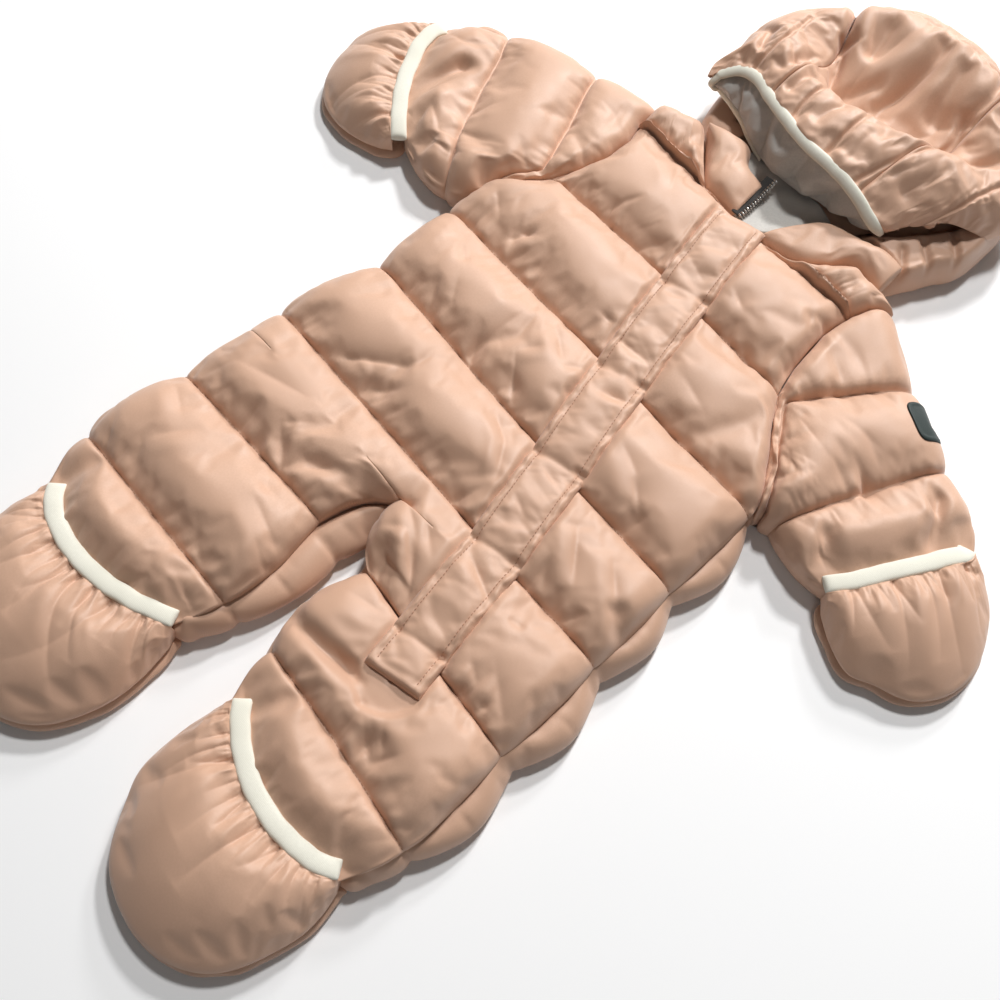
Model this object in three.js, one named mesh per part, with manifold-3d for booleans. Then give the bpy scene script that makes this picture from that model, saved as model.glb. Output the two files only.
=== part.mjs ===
// A baby's quilted snowsuit, laid on its back on a flat surface, in millimetres, +Z up.
// The origin is on the surface under the middle of the back, +Y runs to the hood and +X to the wearer's left.
// Each padded panel is a closed solid: its upper skin is quilted into channels between stitch lines,
// and it lies on the panel below it, a seam gap away.
import * as THREE from "three";
import Module from "manifold-3d";
import { mergeVertices } from "three/addons/utils/BufferGeometryUtils.js";

// Driving sizes.
const GAP = 0.3;               // between pieces that are sewn to each other
const BACK_TOP = 17;           // the front lies on the back at this height
const FRONT_FLOOR = BACK_TOP + GAP;
const STITCH_LEVEL = 28;       // a stitch line's height on the front
const CROWN = 17;              // a channel's crown above its stitch lines
const SLEEVE_STITCH_LEVEL = 26;
const SLEEVE_CROWN = 15;
const SIDE_BULGE = 5;          // how far a channel stands out past its stitch lines at a free side
const PLACKET_HALF = 22;
const PLACKET_BED = 31;        // the front pressed down under the placket
const PLACKET_THICK = 6;
const PLACKET_CLEAR = 0.9;     // under the placket, over the quilting's dips
const COVER_PLEATS = { foot: 15, mitten: 12 };
const ELASTIC_WIDE = 10;
const ELASTIC_THICK = 3;
const HOOD_WALL = 9;
const PLACKET_RAMP = 12;       // how far the fronts take to rise beside the placket
const PLACKET_LOFT = 5;        // how far the placket's bed rises between stitch lines
const TRIM_RAMP = 12;          // how far the cloth takes to rise beside an elastic edge
const TRIM_SINK = 6;           // how far under its mouth an elastic edge presses the cloth
const BULGE_REACH = 40;        // a channel's bulge fades out this far in from its edge
const PLEAT = 2.2;             // the height of a cover's pleats at its elastic edge
const SOLE = { foot: 9, mitten: 8 };
const HOOD_SEAM_HALF = 0.006;  // half the gap between two hood panels, in rows of the hood's table

// How a panel's edge is finished: its height there, how far in it rounds over,
// and how far its channels bulge out.
const SIDE = { level: 20, round: 27, bulge: SIDE_BULGE };
const SIDE_SEAM = { level: 23, round: 20, bulge: 2 };
const SEWN = { level: 26, round: 12, bulge: 0 };
const CENTRE = { level: 29, round: 10, bulge: 0 };
const TUBE_SIDE = { level: 13, round: 26, bulge: 4 };

// The centre front, where the two fronts meet under the placket, at each stitch line.
const CENTRE_FRONT = [[-6, 173], [11, 97], [31, 17], [52, -59], [71, -130], [86, -204], [93, -232]];
const STITCH_BELOW_PLACKET = -279;  // the height in plan of the first stitch line below it

const ARMHOLE_RIGHT = [[-122, 206], [-121, 183], [-115, 165], [-114, 140], [-120, 118], [-129, 98],
  [-146, 73], [-152, 50]];
const ARMHOLE_LEFT = [[118, 201], [106, 190], [100, 174], [97, 150], [102, 115], [109, 92], [122, 73],
  [142, 46], [157, 22]];

// Rows across each front, from the shoulder to the ankle: at is the row's points from the side to the middle,
// stitch says that it is sewn down, and outer and inner say how the panel is finished at its two ends.
const FRONT_RIGHT = [
  { at: [[-122, 206], [-87, 218]], stitch: true, outer: SEWN, inner: SEWN },
  { at: [[-121, 183], [-48, 179]], stitch: true, outer: SEWN, inner: SEWN },
  { at: [[-120.4, 181], [-48, 177], [-6.3, 173]], stitch: false, outer: SEWN, inner: CENTRE },
  { at: [[-115, 165], [-3, 160]], stitch: false, outer: SEWN, inner: CENTRE },
  { at: [[-114, 140], [1.5, 138]], stitch: false, outer: SEWN, inner: CENTRE },
  { at: [[-120, 118], [6, 117]], stitch: false, outer: SEWN, inner: CENTRE },
  { at: [[-129, 98], [10.7, 97]], stitch: true, outer: SEWN, inner: CENTRE },
  { at: [[-146, 73], [17, 73]], stitch: false, outer: SEWN, inner: CENTRE },
  { at: [[-152, 50], [23, 49]], stitch: false, outer: SEWN, inner: CENTRE },
  { at: [[-157, 22], [30.7, 17]], stitch: true, outer: SIDE, inner: CENTRE },
  { at: [[-153, -47], [-90, -52], [51.7, -59]], stitch: true, outer: SIDE, inner: CENTRE },
  { at: [[-168, -124], [-60, -125], [70.7, -130]], stitch: true, outer: SIDE, inner: CENTRE },
  { at: [[-166, -148], [2, -153]], stitch: false, outer: SIDE, inner: SIDE_SEAM },
  { at: [[-168, -164], [-17, -166]], stitch: false, outer: SIDE, inner: SIDE_SEAM },
  { at: [[-171, -204], [-24, -200]], stitch: true, outer: SIDE, inner: SIDE_SEAM },
  { at: [[-175, -280], [-19, -279]], stitch: true, outer: SIDE, inner: SIDE_SEAM },
  { at: [[-160, -318], [-31, -310]], stitch: false, outer: SIDE, inner: SIDE_SEAM },
  { at: [[-154, -332], [-110, -340], [-36, -322]], stitch: true, outer: SIDE, inner: SIDE_SEAM },
];
// The part of the right front that crosses the crotch to the left leg.
const CROTCH = [
  { at: [[2, -151], [70.7, -128]], stitch: false, outer: SIDE_SEAM, inner: CENTRE },
  { at: [[3, -168], [75, -148]], stitch: false, outer: SIDE_SEAM, inner: CENTRE },
  { at: [[11, -188], [80, -174]], stitch: false, outer: SIDE_SEAM, inner: CENTRE },
  { at: [[25, -197], [85.4, -203]], stitch: true, outer: SIDE_SEAM, inner: CENTRE },
];
const FRONT_LEFT = [
  { at: [[118, 201], [75, 206]], stitch: true, outer: SEWN, inner: SEWN },
  { at: [[106, 190], [60, 192]], stitch: false, outer: SEWN, inner: SEWN },
  { at: [[100, 174], [44, 177]], stitch: true, outer: SEWN, inner: SEWN },
  { at: [[99.7, 172], [44, 175], [-5.7, 172.6]], stitch: false, outer: SEWN, inner: CENTRE },
  { at: [[97, 150], [-0.5, 150]], stitch: false, outer: SEWN, inner: CENTRE },
  { at: [[102, 115], [7.5, 115]], stitch: false, outer: SEWN, inner: CENTRE },
  { at: [[109, 92], [11.9, 95]], stitch: true, outer: SEWN, inner: CENTRE },
  { at: [[122, 73], [17, 74]], stitch: false, outer: SEWN, inner: CENTRE },
  { at: [[142, 46], [24, 47]], stitch: false, outer: SEWN, inner: CENTRE },
  { at: [[157, 22], [31, 19]], stitch: false, outer: SEWN, inner: CENTRE },
  { at: [[158, 13], [31.6, 16]], stitch: true, outer: SIDE_SEAM, inner: CENTRE },
  { at: [[161, -62], [53, -60]], stitch: true, outer: SIDE_SEAM, inner: CENTRE },
  { at: [[165, -131], [72, -131]], stitch: true, outer: SIDE_SEAM, inner: CENTRE },
  { at: [[168, -209], [86.5, -204]], stitch: true, outer: SIDE_SEAM, inner: CENTRE },
  { at: [[168, -211], [86.5, -205.5], [24, -199]], stitch: false, outer: SIDE_SEAM, inner: SIDE },
  { at: [[172, -288], [120, -281], [26, -275]], stitch: true, outer: SIDE_SEAM, inner: SIDE },
  { at: [[160, -322], [37, -308]], stitch: false, outer: SIDE_SEAM, inner: SIDE },
  { at: [[154, -336], [110, -344], [42, -320]], stitch: true, outer: SIDE_SEAM, inner: SIDE },
];

// Rows across each half of the back: outer and inner are its outline,
// and the wraps are how far the outline rolls up.
const BACK_RIGHT = [
  { outer: [-122, 206], inner: [1, 196], wrapOuter: 2, wrapInner: 0 },
  { outer: [-121, 183], inner: [1, 183], wrapOuter: 2, wrapInner: 0 },
  { outer: [-115, 165], inner: [1, 165], wrapOuter: 2, wrapInner: 0 },
  { outer: [-114, 140], inner: [1, 140], wrapOuter: 2, wrapInner: 0 },
  { outer: [-120, 118], inner: [1, 118], wrapOuter: 2, wrapInner: 0 },
  { outer: [-129, 98], inner: [1, 98], wrapOuter: 2, wrapInner: 0 },
  { outer: [-146, 73], inner: [1, 73], wrapOuter: 2, wrapInner: 0 },
  { outer: [-152, 50], inner: [1, 50], wrapOuter: 3, wrapInner: 0 },
  { outer: [-155, 22], inner: [1, 22], wrapOuter: 9, wrapInner: 0 },
  { outer: [-157, -14], inner: [1, -14], wrapOuter: 9, wrapInner: 0 },
  { outer: [-152, -50], inner: [1, -50], wrapOuter: 9, wrapInner: 0 },
  { outer: [-166, -90], inner: [1, -90], wrapOuter: 9, wrapInner: 0 },
  { outer: [-167, -125], inner: [1, -125], wrapOuter: 9, wrapInner: 0 },
  { outer: [-170, -164], inner: [1, -158], wrapOuter: 9, wrapInner: 2 },
  { outer: [-170, -204], inner: [0, -206], wrapOuter: 9, wrapInner: 22 },
  { outer: [-176, -244], inner: [-2, -240], wrapOuter: 9, wrapInner: 19 },
  { outer: [-174, -280], inner: [-9, -280], wrapOuter: 9, wrapInner: 13 },
  { outer: [-166, -306], inner: [-20, -302], wrapOuter: 9, wrapInner: 9 },
  { outer: [-158, -322], inner: [-30, -314], wrapOuter: 9, wrapInner: 9 },
];
const BACK_LEFT = [
  { outer: [118, 201], inner: [-1, 196], wrapOuter: 2, wrapInner: 0 },
  { outer: [106, 190], inner: [-1, 190], wrapOuter: 2, wrapInner: 0 },
  { outer: [100, 174], inner: [-1, 174], wrapOuter: 2, wrapInner: 0 },
  { outer: [97, 150], inner: [-1, 150], wrapOuter: 2, wrapInner: 0 },
  { outer: [102, 115], inner: [-1, 115], wrapOuter: 2, wrapInner: 0 },
  { outer: [109, 92], inner: [-1, 92], wrapOuter: 2, wrapInner: 0 },
  { outer: [122, 73], inner: [-1, 73], wrapOuter: 2, wrapInner: 0 },
  { outer: [142, 46], inner: [-1, 46], wrapOuter: 2, wrapInner: 0 },
  { outer: [157, 22], inner: [-1, 22], wrapOuter: 2, wrapInner: 0 },
  { outer: [161, 10], inner: [-1, 10], wrapOuter: 8, wrapInner: 0 },
  { outer: [170, -25], inner: [-1, -25], wrapOuter: 12, wrapInner: 0 },
  { outer: [166, -62], inner: [-1, -62], wrapOuter: 10, wrapInner: 0 },
  { outer: [174, -92], inner: [-1, -92], wrapOuter: 12, wrapInner: 0 },
  { outer: [172, -131], inner: [-1, -131], wrapOuter: 11, wrapInner: 0 },
  { outer: [182, -170], inner: [-1, -160], wrapOuter: 13, wrapInner: 4 },
  { outer: [177, -209], inner: [22, -200], wrapOuter: 12, wrapInner: 9 },
  { outer: [184, -248], inner: [17, -240], wrapOuter: 13, wrapInner: 9 },
  { outer: [177, -288], inner: [25, -276], wrapOuter: 10, wrapInner: 9 },
  { outer: [168, -312], inner: [35, -300], wrapOuter: 9, wrapInner: 9 },
  { outer: [160, -326], inner: [40, -312], wrapOuter: 9, wrapInner: 9 },
];

// Rows across each sleeve, from the armhole to the cuff, each from the shoulder side to the underarm.
const SLEEVE_RIGHT = [
  { at: ARMHOLE_RIGHT.map(([x, y]) => [x - 0.8, y + 0.1]), stitch: true, outer: SEWN, inner: SEWN },
  { at: [[-183, 197], [-177, 186], [-169, 168], [-155, 140], [-142, 110], [-138, 97], [-154, 72],
    [-158, 50]], stitch: true, outer: TUBE_SIDE, inner: TUBE_SIDE },
  { at: [[-260, 172], [-252, 161], [-243, 148], [-227, 115], [-211, 85], [-203, 71], [-191, 54],
    [-180, 37]], stitch: true, outer: TUBE_SIDE, inner: TUBE_SIDE },
  { at: [[-287, 151], [-281, 137], [-275, 124], [-262, 98], [-243, 72], [-232, 60], [-222, 50],
    [-212, 38]], stitch: false, outer: TUBE_SIDE, inner: TUBE_SIDE },
  { at: [[-304, 126], [-300, 115], [-295, 104], [-282, 84], [-266, 67], [-259, 61], [-250, 54],
    [-238, 46]], stitch: true, outer: TUBE_SIDE, inner: TUBE_SIDE },
];
const SLEEVE_LEFT = [
  { at: ARMHOLE_LEFT.map(([x, y]) => [x + 0.8, y + 0.1]), stitch: true, outer: SEWN, inner: SEWN },
  { at: [[169, 167], [162, 157], [152, 143], [139, 124], [125, 104], [117, 90], [130, 72], [149, 46],
    [163, 24]], stitch: true, outer: TUBE_SIDE, inner: TUBE_SIDE },
  { at: [[222, 139], [217, 127], [211, 114], [204, 98], [197, 82], [192, 70], [187, 58], [180, 40],
    [173, 22]], stitch: true, outer: TUBE_SIDE, inner: TUBE_SIDE },
  { at: [[254, 121], [251, 110], [247, 98], [240, 82], [231, 64], [226, 54], [221, 44], [214, 30],
    [206, 17]], stitch: false, outer: TUBE_SIDE, inner: TUBE_SIDE },
  { at: [[274, 98], [272, 90], [268, 80], [261, 66], [253, 52], [249, 45], [245, 39], [238, 29],
    [230, 19]], stitch: true, outer: TUBE_SIDE, inner: TUBE_SIDE },
];

// Each hand and foot cover: trim is the line of its elastic edge, rim its outline from the trim's one end
// to the other, and back the line where the limb ends under it.
const COVERS = {
  foot_right: {
    kind: "foot", crown: 27, mouth: 31,
    trim: [[-162, -318], [-148, -329], [-130, -335], [-108, -337], [-84, -335], [-58, -328],
      [-40, -320], [-27, -313]],
    rim: [[-167, -326], [-172, -350], [-170, -378], [-160, -398], [-143, -418], [-120, -430],
      [-95, -434], [-68, -431], [-44, -420], [-28, -402], [-18, -374], [-17, -348], [-22, -322]],
    back: [[-158, -322.4], [-94, -322.4], [-30, -314.4]],
  },
  foot_left: {
    kind: "foot", crown: 27, mouth: 31,
    trim: [[35, -310], [50, -322], [70, -332], [90, -338], [115, -340], [138, -337], [150, -333],
      [160, -326]],
    rim: [[31, -317], [27, -342], [29, -376], [40, -396], [56, -417], [74, -428], [100, -433],
      [126, -429], [147, -416], [160, -396], [168, -366], [168, -348], [164, -332]],
    back: [[40, -312.4], [98, -322.4], [160, -326.4]],
  },
  mitten_right: {
    kind: "mitten", crown: 22, mouth: 29,
    trim: [[-306, 137], [-306, 122], [-299, 103], [-284, 79], [-267, 58], [-252, 44], [-240, 34]],
    rim: [[-311, 136], [-322, 128], [-336, 110], [-348, 90], [-344, 68], [-337, 49], [-326, 33],
      [-309, 21], [-285, 17], [-262, 21], [-246, 28]],
    back: [[-304.4, 126], [-282, 82], [-238, 45]],
  },
  mitten_left: {
    kind: "mitten", crown: 22, mouth: 29,
    trim: [[271, 106], [272, 98], [267, 87], [260, 72], [250, 53], [238, 30], [226, 13]],
    rim: [[277, 104], [291, 98], [306, 84], [318, 63], [323, 44], [321, 26], [313, 11], [302, 2],
      [286, -4], [270, -11], [250, -5], [233, 5]],
    back: [[274.4, 98], [254, 53], [230.4, 18]],
  },
};

// The largest folds, as soft troughs on the panels: from and to in plan, depth and half width.
const FOLDS = [
  { from: [12, -254], to: [82, -246], depth: 9, wide: 7 },
  { from: [4, -154], to: [-60, -182], depth: 5, wide: 8 },
  { from: [22, -160], to: [58, -192], depth: 5, wide: 6 },
  { from: [-120, -112], to: [-72, -86], depth: 5, wide: 8 },
  { from: [-52, 12], to: [-58, -44], depth: 4, wide: 8 },
  { from: [-252, 118], to: [-262, 78], depth: 8, wide: 7 },
  { from: [-170, 78], to: [-150, 92], depth: 8, wide: 8 },
  { from: [200, 40], to: [222, 32], depth: 7, wide: 6 },
  { from: [230, 112], to: [254, 86], depth: 7, wide: 6 },
  { from: [150, -100], to: [168, -112], depth: 7, wide: 6 },
  { from: [88, -24], to: [120, -50], depth: 4, wide: 7 },
  { from: [-150, -290], to: [-156, -312], depth: 6, wide: 7 },
  { from: [-50, -292], to: [-38, -308], depth: 6, wide: 7 },
  { from: [60, -288], to: [50, -308], depth: 6, wide: 7 },
  { from: [138, -314], to: [156, -296], depth: 6, wide: 7 },
];

const PATCH = { centre: [189, 147], along: [0.87, -0.49], half: [16, 11], thick: 1.5, roundness: 4 };

// The hood lies on its back with its upper side puffed up around a hollow. Each row is a section of that
// side, from the right end of the mouth to the left: the brim, the ridge behind it, the dent, the crown,
// the side and the foot.
const HOOD_FLOOR = BACK_TOP + GAP;
const HOOD_MIDDLE = [0, 312];
const HOOD = [
  { brim: [-115, 246, 40], ridge: [-117, 252, 43], dent: [-119, 257, 41], crown: [-120, 263, 37],
    side: [-121, 268, 27], foot: [-114, 268, 17] },
  { brim: [-100, 262, 50], ridge: [-104, 276, 59], dent: [-108, 287, 59], crown: [-113, 298, 52],
    side: [-121, 306, 31], foot: [-113, 303, 17] },
  { brim: [-82, 263, 56], ridge: [-84, 288, 68], dent: [-90, 310, 66], crown: [-100, 334, 58],
    side: [-112, 346, 31], foot: [-103, 341, 17] },
  { brim: [-62, 254, 60], ridge: [-60, 284, 70], dent: [-58, 320, 50], crown: [-72, 360, 64],
    side: [-85, 385, 33], foot: [-77, 377, 17] },
  { brim: [-38, 245, 63], ridge: [-36, 278, 71], dent: [-34, 305, 44], crown: [-42, 378, 68],
    side: [-53, 409, 35], foot: [-49, 399, 17] },
  { brim: [-10, 238, 64], ridge: [-8, 277, 73], dent: [-6, 310, 42], crown: [-8, 384, 70],
    side: [-10, 414, 37], foot: [-9, 403, 17] },
  { brim: [18, 237, 63], ridge: [20, 282, 73], dent: [22, 316, 40], crown: [22, 384, 70],
    side: [26, 412, 37], foot: [24, 402, 17] },
  { brim: [40, 236, 58], ridge: [46, 290, 71], dent: [54, 324, 44], crown: [56, 374, 67],
    side: [66, 401, 35], foot: [61, 391, 17] },
  { brim: [56, 235, 50], ridge: [68, 290, 67], dent: [80, 322, 58], crown: [92, 350, 60],
    side: [106, 373, 33], foot: [98, 365, 17] },
  { brim: [66, 237, 43], ridge: [86, 278, 58], dent: [100, 297, 60], crown: [114, 318, 53],
    side: [127, 331, 31], foot: [117, 326, 17] },
  { brim: [70, 241, 36], ridge: [82, 258, 43], dent: [94, 272, 45], crown: [107, 285, 39],
    side: [120, 298, 27], foot: [110, 292, 17] },
];
// The rows where the hood's three panels meet.
const HOOD_PANEL_SEAMS = [3, 7];
// The hood's stitch lines, as soft grooves.
const HOOD_SEAMS = [
  { line: [[-80, 390], [-52, 391], [0, 391], [50, 390]], depth: 4, wide: 4 },
  { line: [[-92, 330], [-88, 300], [-90, 268]], depth: 4, wide: 4 },
  { line: [[-34, 290], [-36, 262], [-34, 246]], depth: 4, wide: 4 },
  { line: [[4, 285], [4, 238]], depth: 3, wide: 4 },
  { line: [[55, 305], [40, 262], [32, 236]], depth: 4, wide: 4 },
  { line: [[106, 325], [96, 285], [82, 256]], depth: 4, wide: 4 },
  { line: [[-84, 380], [-62, 340], [-40, 300]], depth: 6, wide: 5 },
  { line: [[48, 395], [48, 350], [55, 318]], depth: 5, wide: 5 },
  { line: [[-2, 376], [-4, 318]], depth: 6, wide: 6 },
];
const HOOD_UNDER = {
  neck: [[-100, 236], [-86, 224], [-80, 208], [0, 198.5], [80, 204], [92, 232], [108, 258]],
  crown: [[-108, 262], [-113, 300], [-104, 338], [-78, 378], [-48, 401], [0, 406], [30, 404], [62, 393],
    [98, 367], [118, 330], [122, 300], [120, 272]],
};
// The lower lip of the hood's mouth, right to left.
const FACING_LIP = [[-108, 252, 34], [-79, 247, 30], [-61, 240, 27], [-41, 232, 25], [-10, 230, 24],
  [10, 234, 24], [27, 236, 26], [42, 243, 28]];
const NECK_LINING = { front: [[-18, 198.8], [0, 198.8], [24, 198.8]], back: [[-30, 226], [0, 226],
  [26, 226]] };
const COLLARS = {
  collar_right: {
    top: [[-86, 222], [-66, 228], [-50, 230], [-38, 215], [-22, 210]],
    base: [[-84, 217.5], [-66, 199], [-48, 180], [-34, 178], [-22, 177]],
    crown: 12,
  },
  collar_left: {
    top: [[97, 234], [80, 234], [60, 229], [38, 223], [28, 211]],
    base: [[98, 205], [74, 207], [59, 192], [44, 178.5], [10, 176]],
    crown: 13,
  },
};
const ZIP_TAPE = { outer: [[-21.7, 222], [-21.7, 176]], inner: [[-10, 222], [-8, 176]] };

const COLOURS = {
  shell: 0xc99a7c,
  binding: 0xe9e6d8,
  fleece: 0xdcd6cc,
  tape: 0x2a2624,
  patch: 0x25302c,
};
const FINISHES = {
  shell: new THREE.MeshStandardMaterial({ color: COLOURS.shell, roughness: 0.55, metalness: 0 }),
  binding: new THREE.MeshStandardMaterial({ color: COLOURS.binding, roughness: 0.8, metalness: 0 }),
  fleece: new THREE.MeshStandardMaterial({ color: COLOURS.fleece, roughness: 0.95, metalness: 0 }),
  tape: new THREE.MeshStandardMaterial({ color: COLOURS.tape, roughness: 0.7, metalness: 0 }),
  patch: new THREE.MeshStandardMaterial({ color: COLOURS.patch, roughness: 0.7, metalness: 0 }),
};

const wasm = await Module();
wasm.setup();

// Small sums.
const lerp = (a, b, f) => a + (b - a) * f;
const lerpPoint = (p, q, f) => p.map((v, i) => lerp(v, q[i], f));
const clamp01 = (v) => Math.min(1, Math.max(0, v));
const smooth = (v) => clamp01(v) ** 2 * (3 - 2 * clamp01(v));
const distance = (p, q) => Math.hypot(p[0] - q[0], p[1] - q[1]);

// A channel's section: 0 at its two stitch lines, 1 along its crown, steep beside the thread.
const puff = (c) => (1 - Math.abs(2 * clamp01(c) - 1) ** 2.4) ** 0.6;
// How a panel rounds over towards an edge, d away from it.
const rise = (d, round) => (d >= round ? 1 : Math.sqrt(1 - (1 - d / round) ** 2));

// The point at a share t of a polyline's length.
function pointAlong(points, t) {
  const lengths = points.slice(1).map((p, i) => distance(p, points[i]));
  let left = clamp01(t) * lengths.reduce((a, b) => a + b);
  for (let i = 0; i < lengths.length; i++) {
    if (left <= lengths[i] || i === lengths.length - 1)
      return lerpPoint(points[i], points[i + 1], Math.min(1, left / lengths[i]));
    left -= lengths[i];
  }
  return points[0];
}

// The point at a share t of a polyline's points.
function pointAtCorner(points, t) {
  const place = clamp01(t) * (points.length - 1);
  const corner = Math.min(Math.floor(place), points.length - 2);
  return lerpPoint(points[corner], points[corner + 1], place - corner);
}

// How far a point lies from a segment.
function segmentDistance(p, a, b) {
  const dot = (p[0] - a[0]) * (b[0] - a[0]) + (p[1] - a[1]) * (b[1] - a[1]);
  return distance(p, lerpPoint(a, b, clamp01(dot / distance(a, b) ** 2)));
}
const lineDistance = (p, line) => Math.min(...line.slice(1).map((q, i) => segmentDistance(p, line[i], q)));
const trough = (depth, wide, away) => depth * Math.exp(-((away / wide) ** 2));
const foldDip = (p) => FOLDS.reduce(
  (dip, { from, to, depth, wide }) => dip + trough(depth, wide, segmentDistance(p, from, to)), 0,
);
const hoodSeamDip = (p) => HOOD_SEAMS.reduce(
  (dip, { line, depth, wide }) => dip + trough(depth, wide, lineDistance(p, line)), 0,
);

// The height of the placket's bed at y: pressed flat, with a dip at each stitch line.
function placketBed(y) {
  const levels = [...CENTRE_FRONT.slice(0, -1).map((p) => p[1]), STITCH_BELOW_PLACKET];
  const below = levels.findIndex((level) => level <= y);
  if (below <= 0) return PLACKET_BED;
  return PLACKET_BED + PLACKET_LOFT * puff((levels[below - 1] - y) / (levels[below - 1] - levels[below]));
}

// A panel's point pressed down where an elastic edge crosses it.
function pressedByTrims(p) {
  let z = p[2];
  for (const { trim, mouth } of Object.values(COVERS)) {
    const near = 1 - smooth((lineDistance(p, trim) - ELASTIC_WIDE / 2 - 4) / TRIM_RAMP);
    const ends = Math.min(distance(p, trim[0]), distance(p, trim[trim.length - 1]));
    const level = mouth - TRIM_SINK - TRIM_SINK * clamp01(1 - ends / 30);
    z = lerp(z, Math.min(z, level), near);
  }
  return [p[0], p[1], z];
}

// Triangles between two rows of vertices that start and end side by side.
function strip(a, b, faces) {
  let i = 0;
  let j = 0;
  while (i < a.length - 1 || j < b.length - 1) {
    const ahead = (i + 1) / (a.length - 1) <= (j + 1) / (b.length - 1);
    if (j === b.length - 1 || (i < a.length - 1 && ahead)) {
      faces.push(a[i], a[i + 1], b[j]);
      i += 1;
    } else {
      faces.push(a[i], b[j + 1], b[j]);
      j += 1;
    }
  }
}

// A closed solid through rings. Each ring's first upper points run across its top, and the rest run back
// underneath.
function skin(rings, upper) {
  const size = rings[0].length;
  const faces = [];
  const index = (r, k) => r * size + (k % size);
  for (let r = 0; r < rings.length - 1; r++)
    for (let k = 0; k < size; k++) {
      faces.push(index(r, k), index(r + 1, k), index(r, k + 1));
      faces.push(index(r, k + 1), index(r + 1, k), index(r + 1, k + 1));
    }
  const cap = (r, reverse) => {
    const top = [...Array(upper).keys()].map((k) => index(r, k));
    const under = [...Array(size - upper).keys()].map((k) => index(r, size - 1 - k));
    const made = [];
    strip(top, under, made);
    if (reverse) turnOver(made);
    faces.push(...made);
  };
  cap(0, false);
  cap(rings.length - 1, true);
  const geometry = new THREE.BufferGeometry();
  geometry.setAttribute("position", new THREE.BufferAttribute(new Float32Array(rings.flat(2)), 3));
  geometry.setIndex(faces);
  return facingOut(geometry);
}

// The same geometry with its faces turned to point out.
function facingOut(geometry) {
  const p = geometry.attributes.position;
  const index = geometry.index.array;
  const [a, b, c] = [new THREE.Vector3(), new THREE.Vector3(), new THREE.Vector3()];
  let volume = 0;
  for (let i = 0; i < index.length; i += 3) {
    a.fromBufferAttribute(p, index[i]);
    b.fromBufferAttribute(p, index[i + 1]);
    c.fromBufferAttribute(p, index[i + 2]);
    volume += a.dot(b.cross(c)) / 6;
  }
  if (volume < 0) turnOver(index);
  return geometry;
}

// Turns triangles over, in place.
function turnOver(corners) {
  for (let i = 0; i < corners.length; i += 3) [corners[i], corners[i + 1]] = [corners[i + 1], corners[i]];
}

// Between a geometry and a solid that can be joined and cut.
function solid(geometry) {
  const bare = new THREE.BufferGeometry();
  bare.setAttribute("position", geometry.attributes.position);
  bare.setIndex(geometry.index);
  const merged = mergeVertices(bare, 1e-3);
  const vertProperties = merged.attributes.position.array;
  const triVerts = new Uint32Array(merged.index.array);
  return new wasm.Manifold(new wasm.Mesh({ numProp: 3, vertProperties, triVerts }));
}
function geometryOf(manifold) {
  const mesh = manifold.getMesh();
  const geometry = new THREE.BufferGeometry();
  geometry.setAttribute("position", new THREE.BufferAttribute(mesh.vertProperties, 3));
  geometry.setIndex(new THREE.BufferAttribute(mesh.triVerts, 1));
  return geometry;
}

// Where a panel is cut into sections: at every row, and between sewn rows close beside the thread and over
// the crown.
function stations(rows, shares) {
  const middle = rows.map((row) => pointAlong(row.at, 0.5));
  const reach = [0];
  for (let i = 1; i < rows.length; i++) {
    reach.push(reach[i - 1] + Math.max(1, distance(middle[i], middle[i - 1])));
  }
  const sewn = rows.map((row, i) => (row.stitch ? i : -1)).filter((i) => i >= 0);
  const list = [];
  const place = (along, channel) => {
    let row = 0;
    while (row < rows.length - 2 && along > reach[row + 1] + 1e-6) row += 1;
    list.push({ row, share: clamp01((along - reach[row]) / (reach[row + 1] - reach[row])), channel });
  };
  const start = sewn[0] > 0 ? [0, ...sewn] : sewn;
  for (let k = 0; k < start.length - 1; k++) {
    const [from, to] = [reach[start[k]], reach[start[k + 1]]];
    const wanted = shares.map((c) => lerp(from, to, c));
    const rowsBetween = reach.slice(start[k] + 1, start[k + 1]);
    const clear = (v) => rowsBetween.every((r) => Math.abs(r - v) > 0.05 * (to - from));
    const kept = wanted.filter((v, i) => i === 0 || clear(v));
    [...kept, ...rowsBetween].sort((a, b) => a - b).forEach((v) => place(v, (v - from) / (to - from)));
  }
  place(reach[start[start.length - 1]], 1);
  return list;
}

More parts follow.
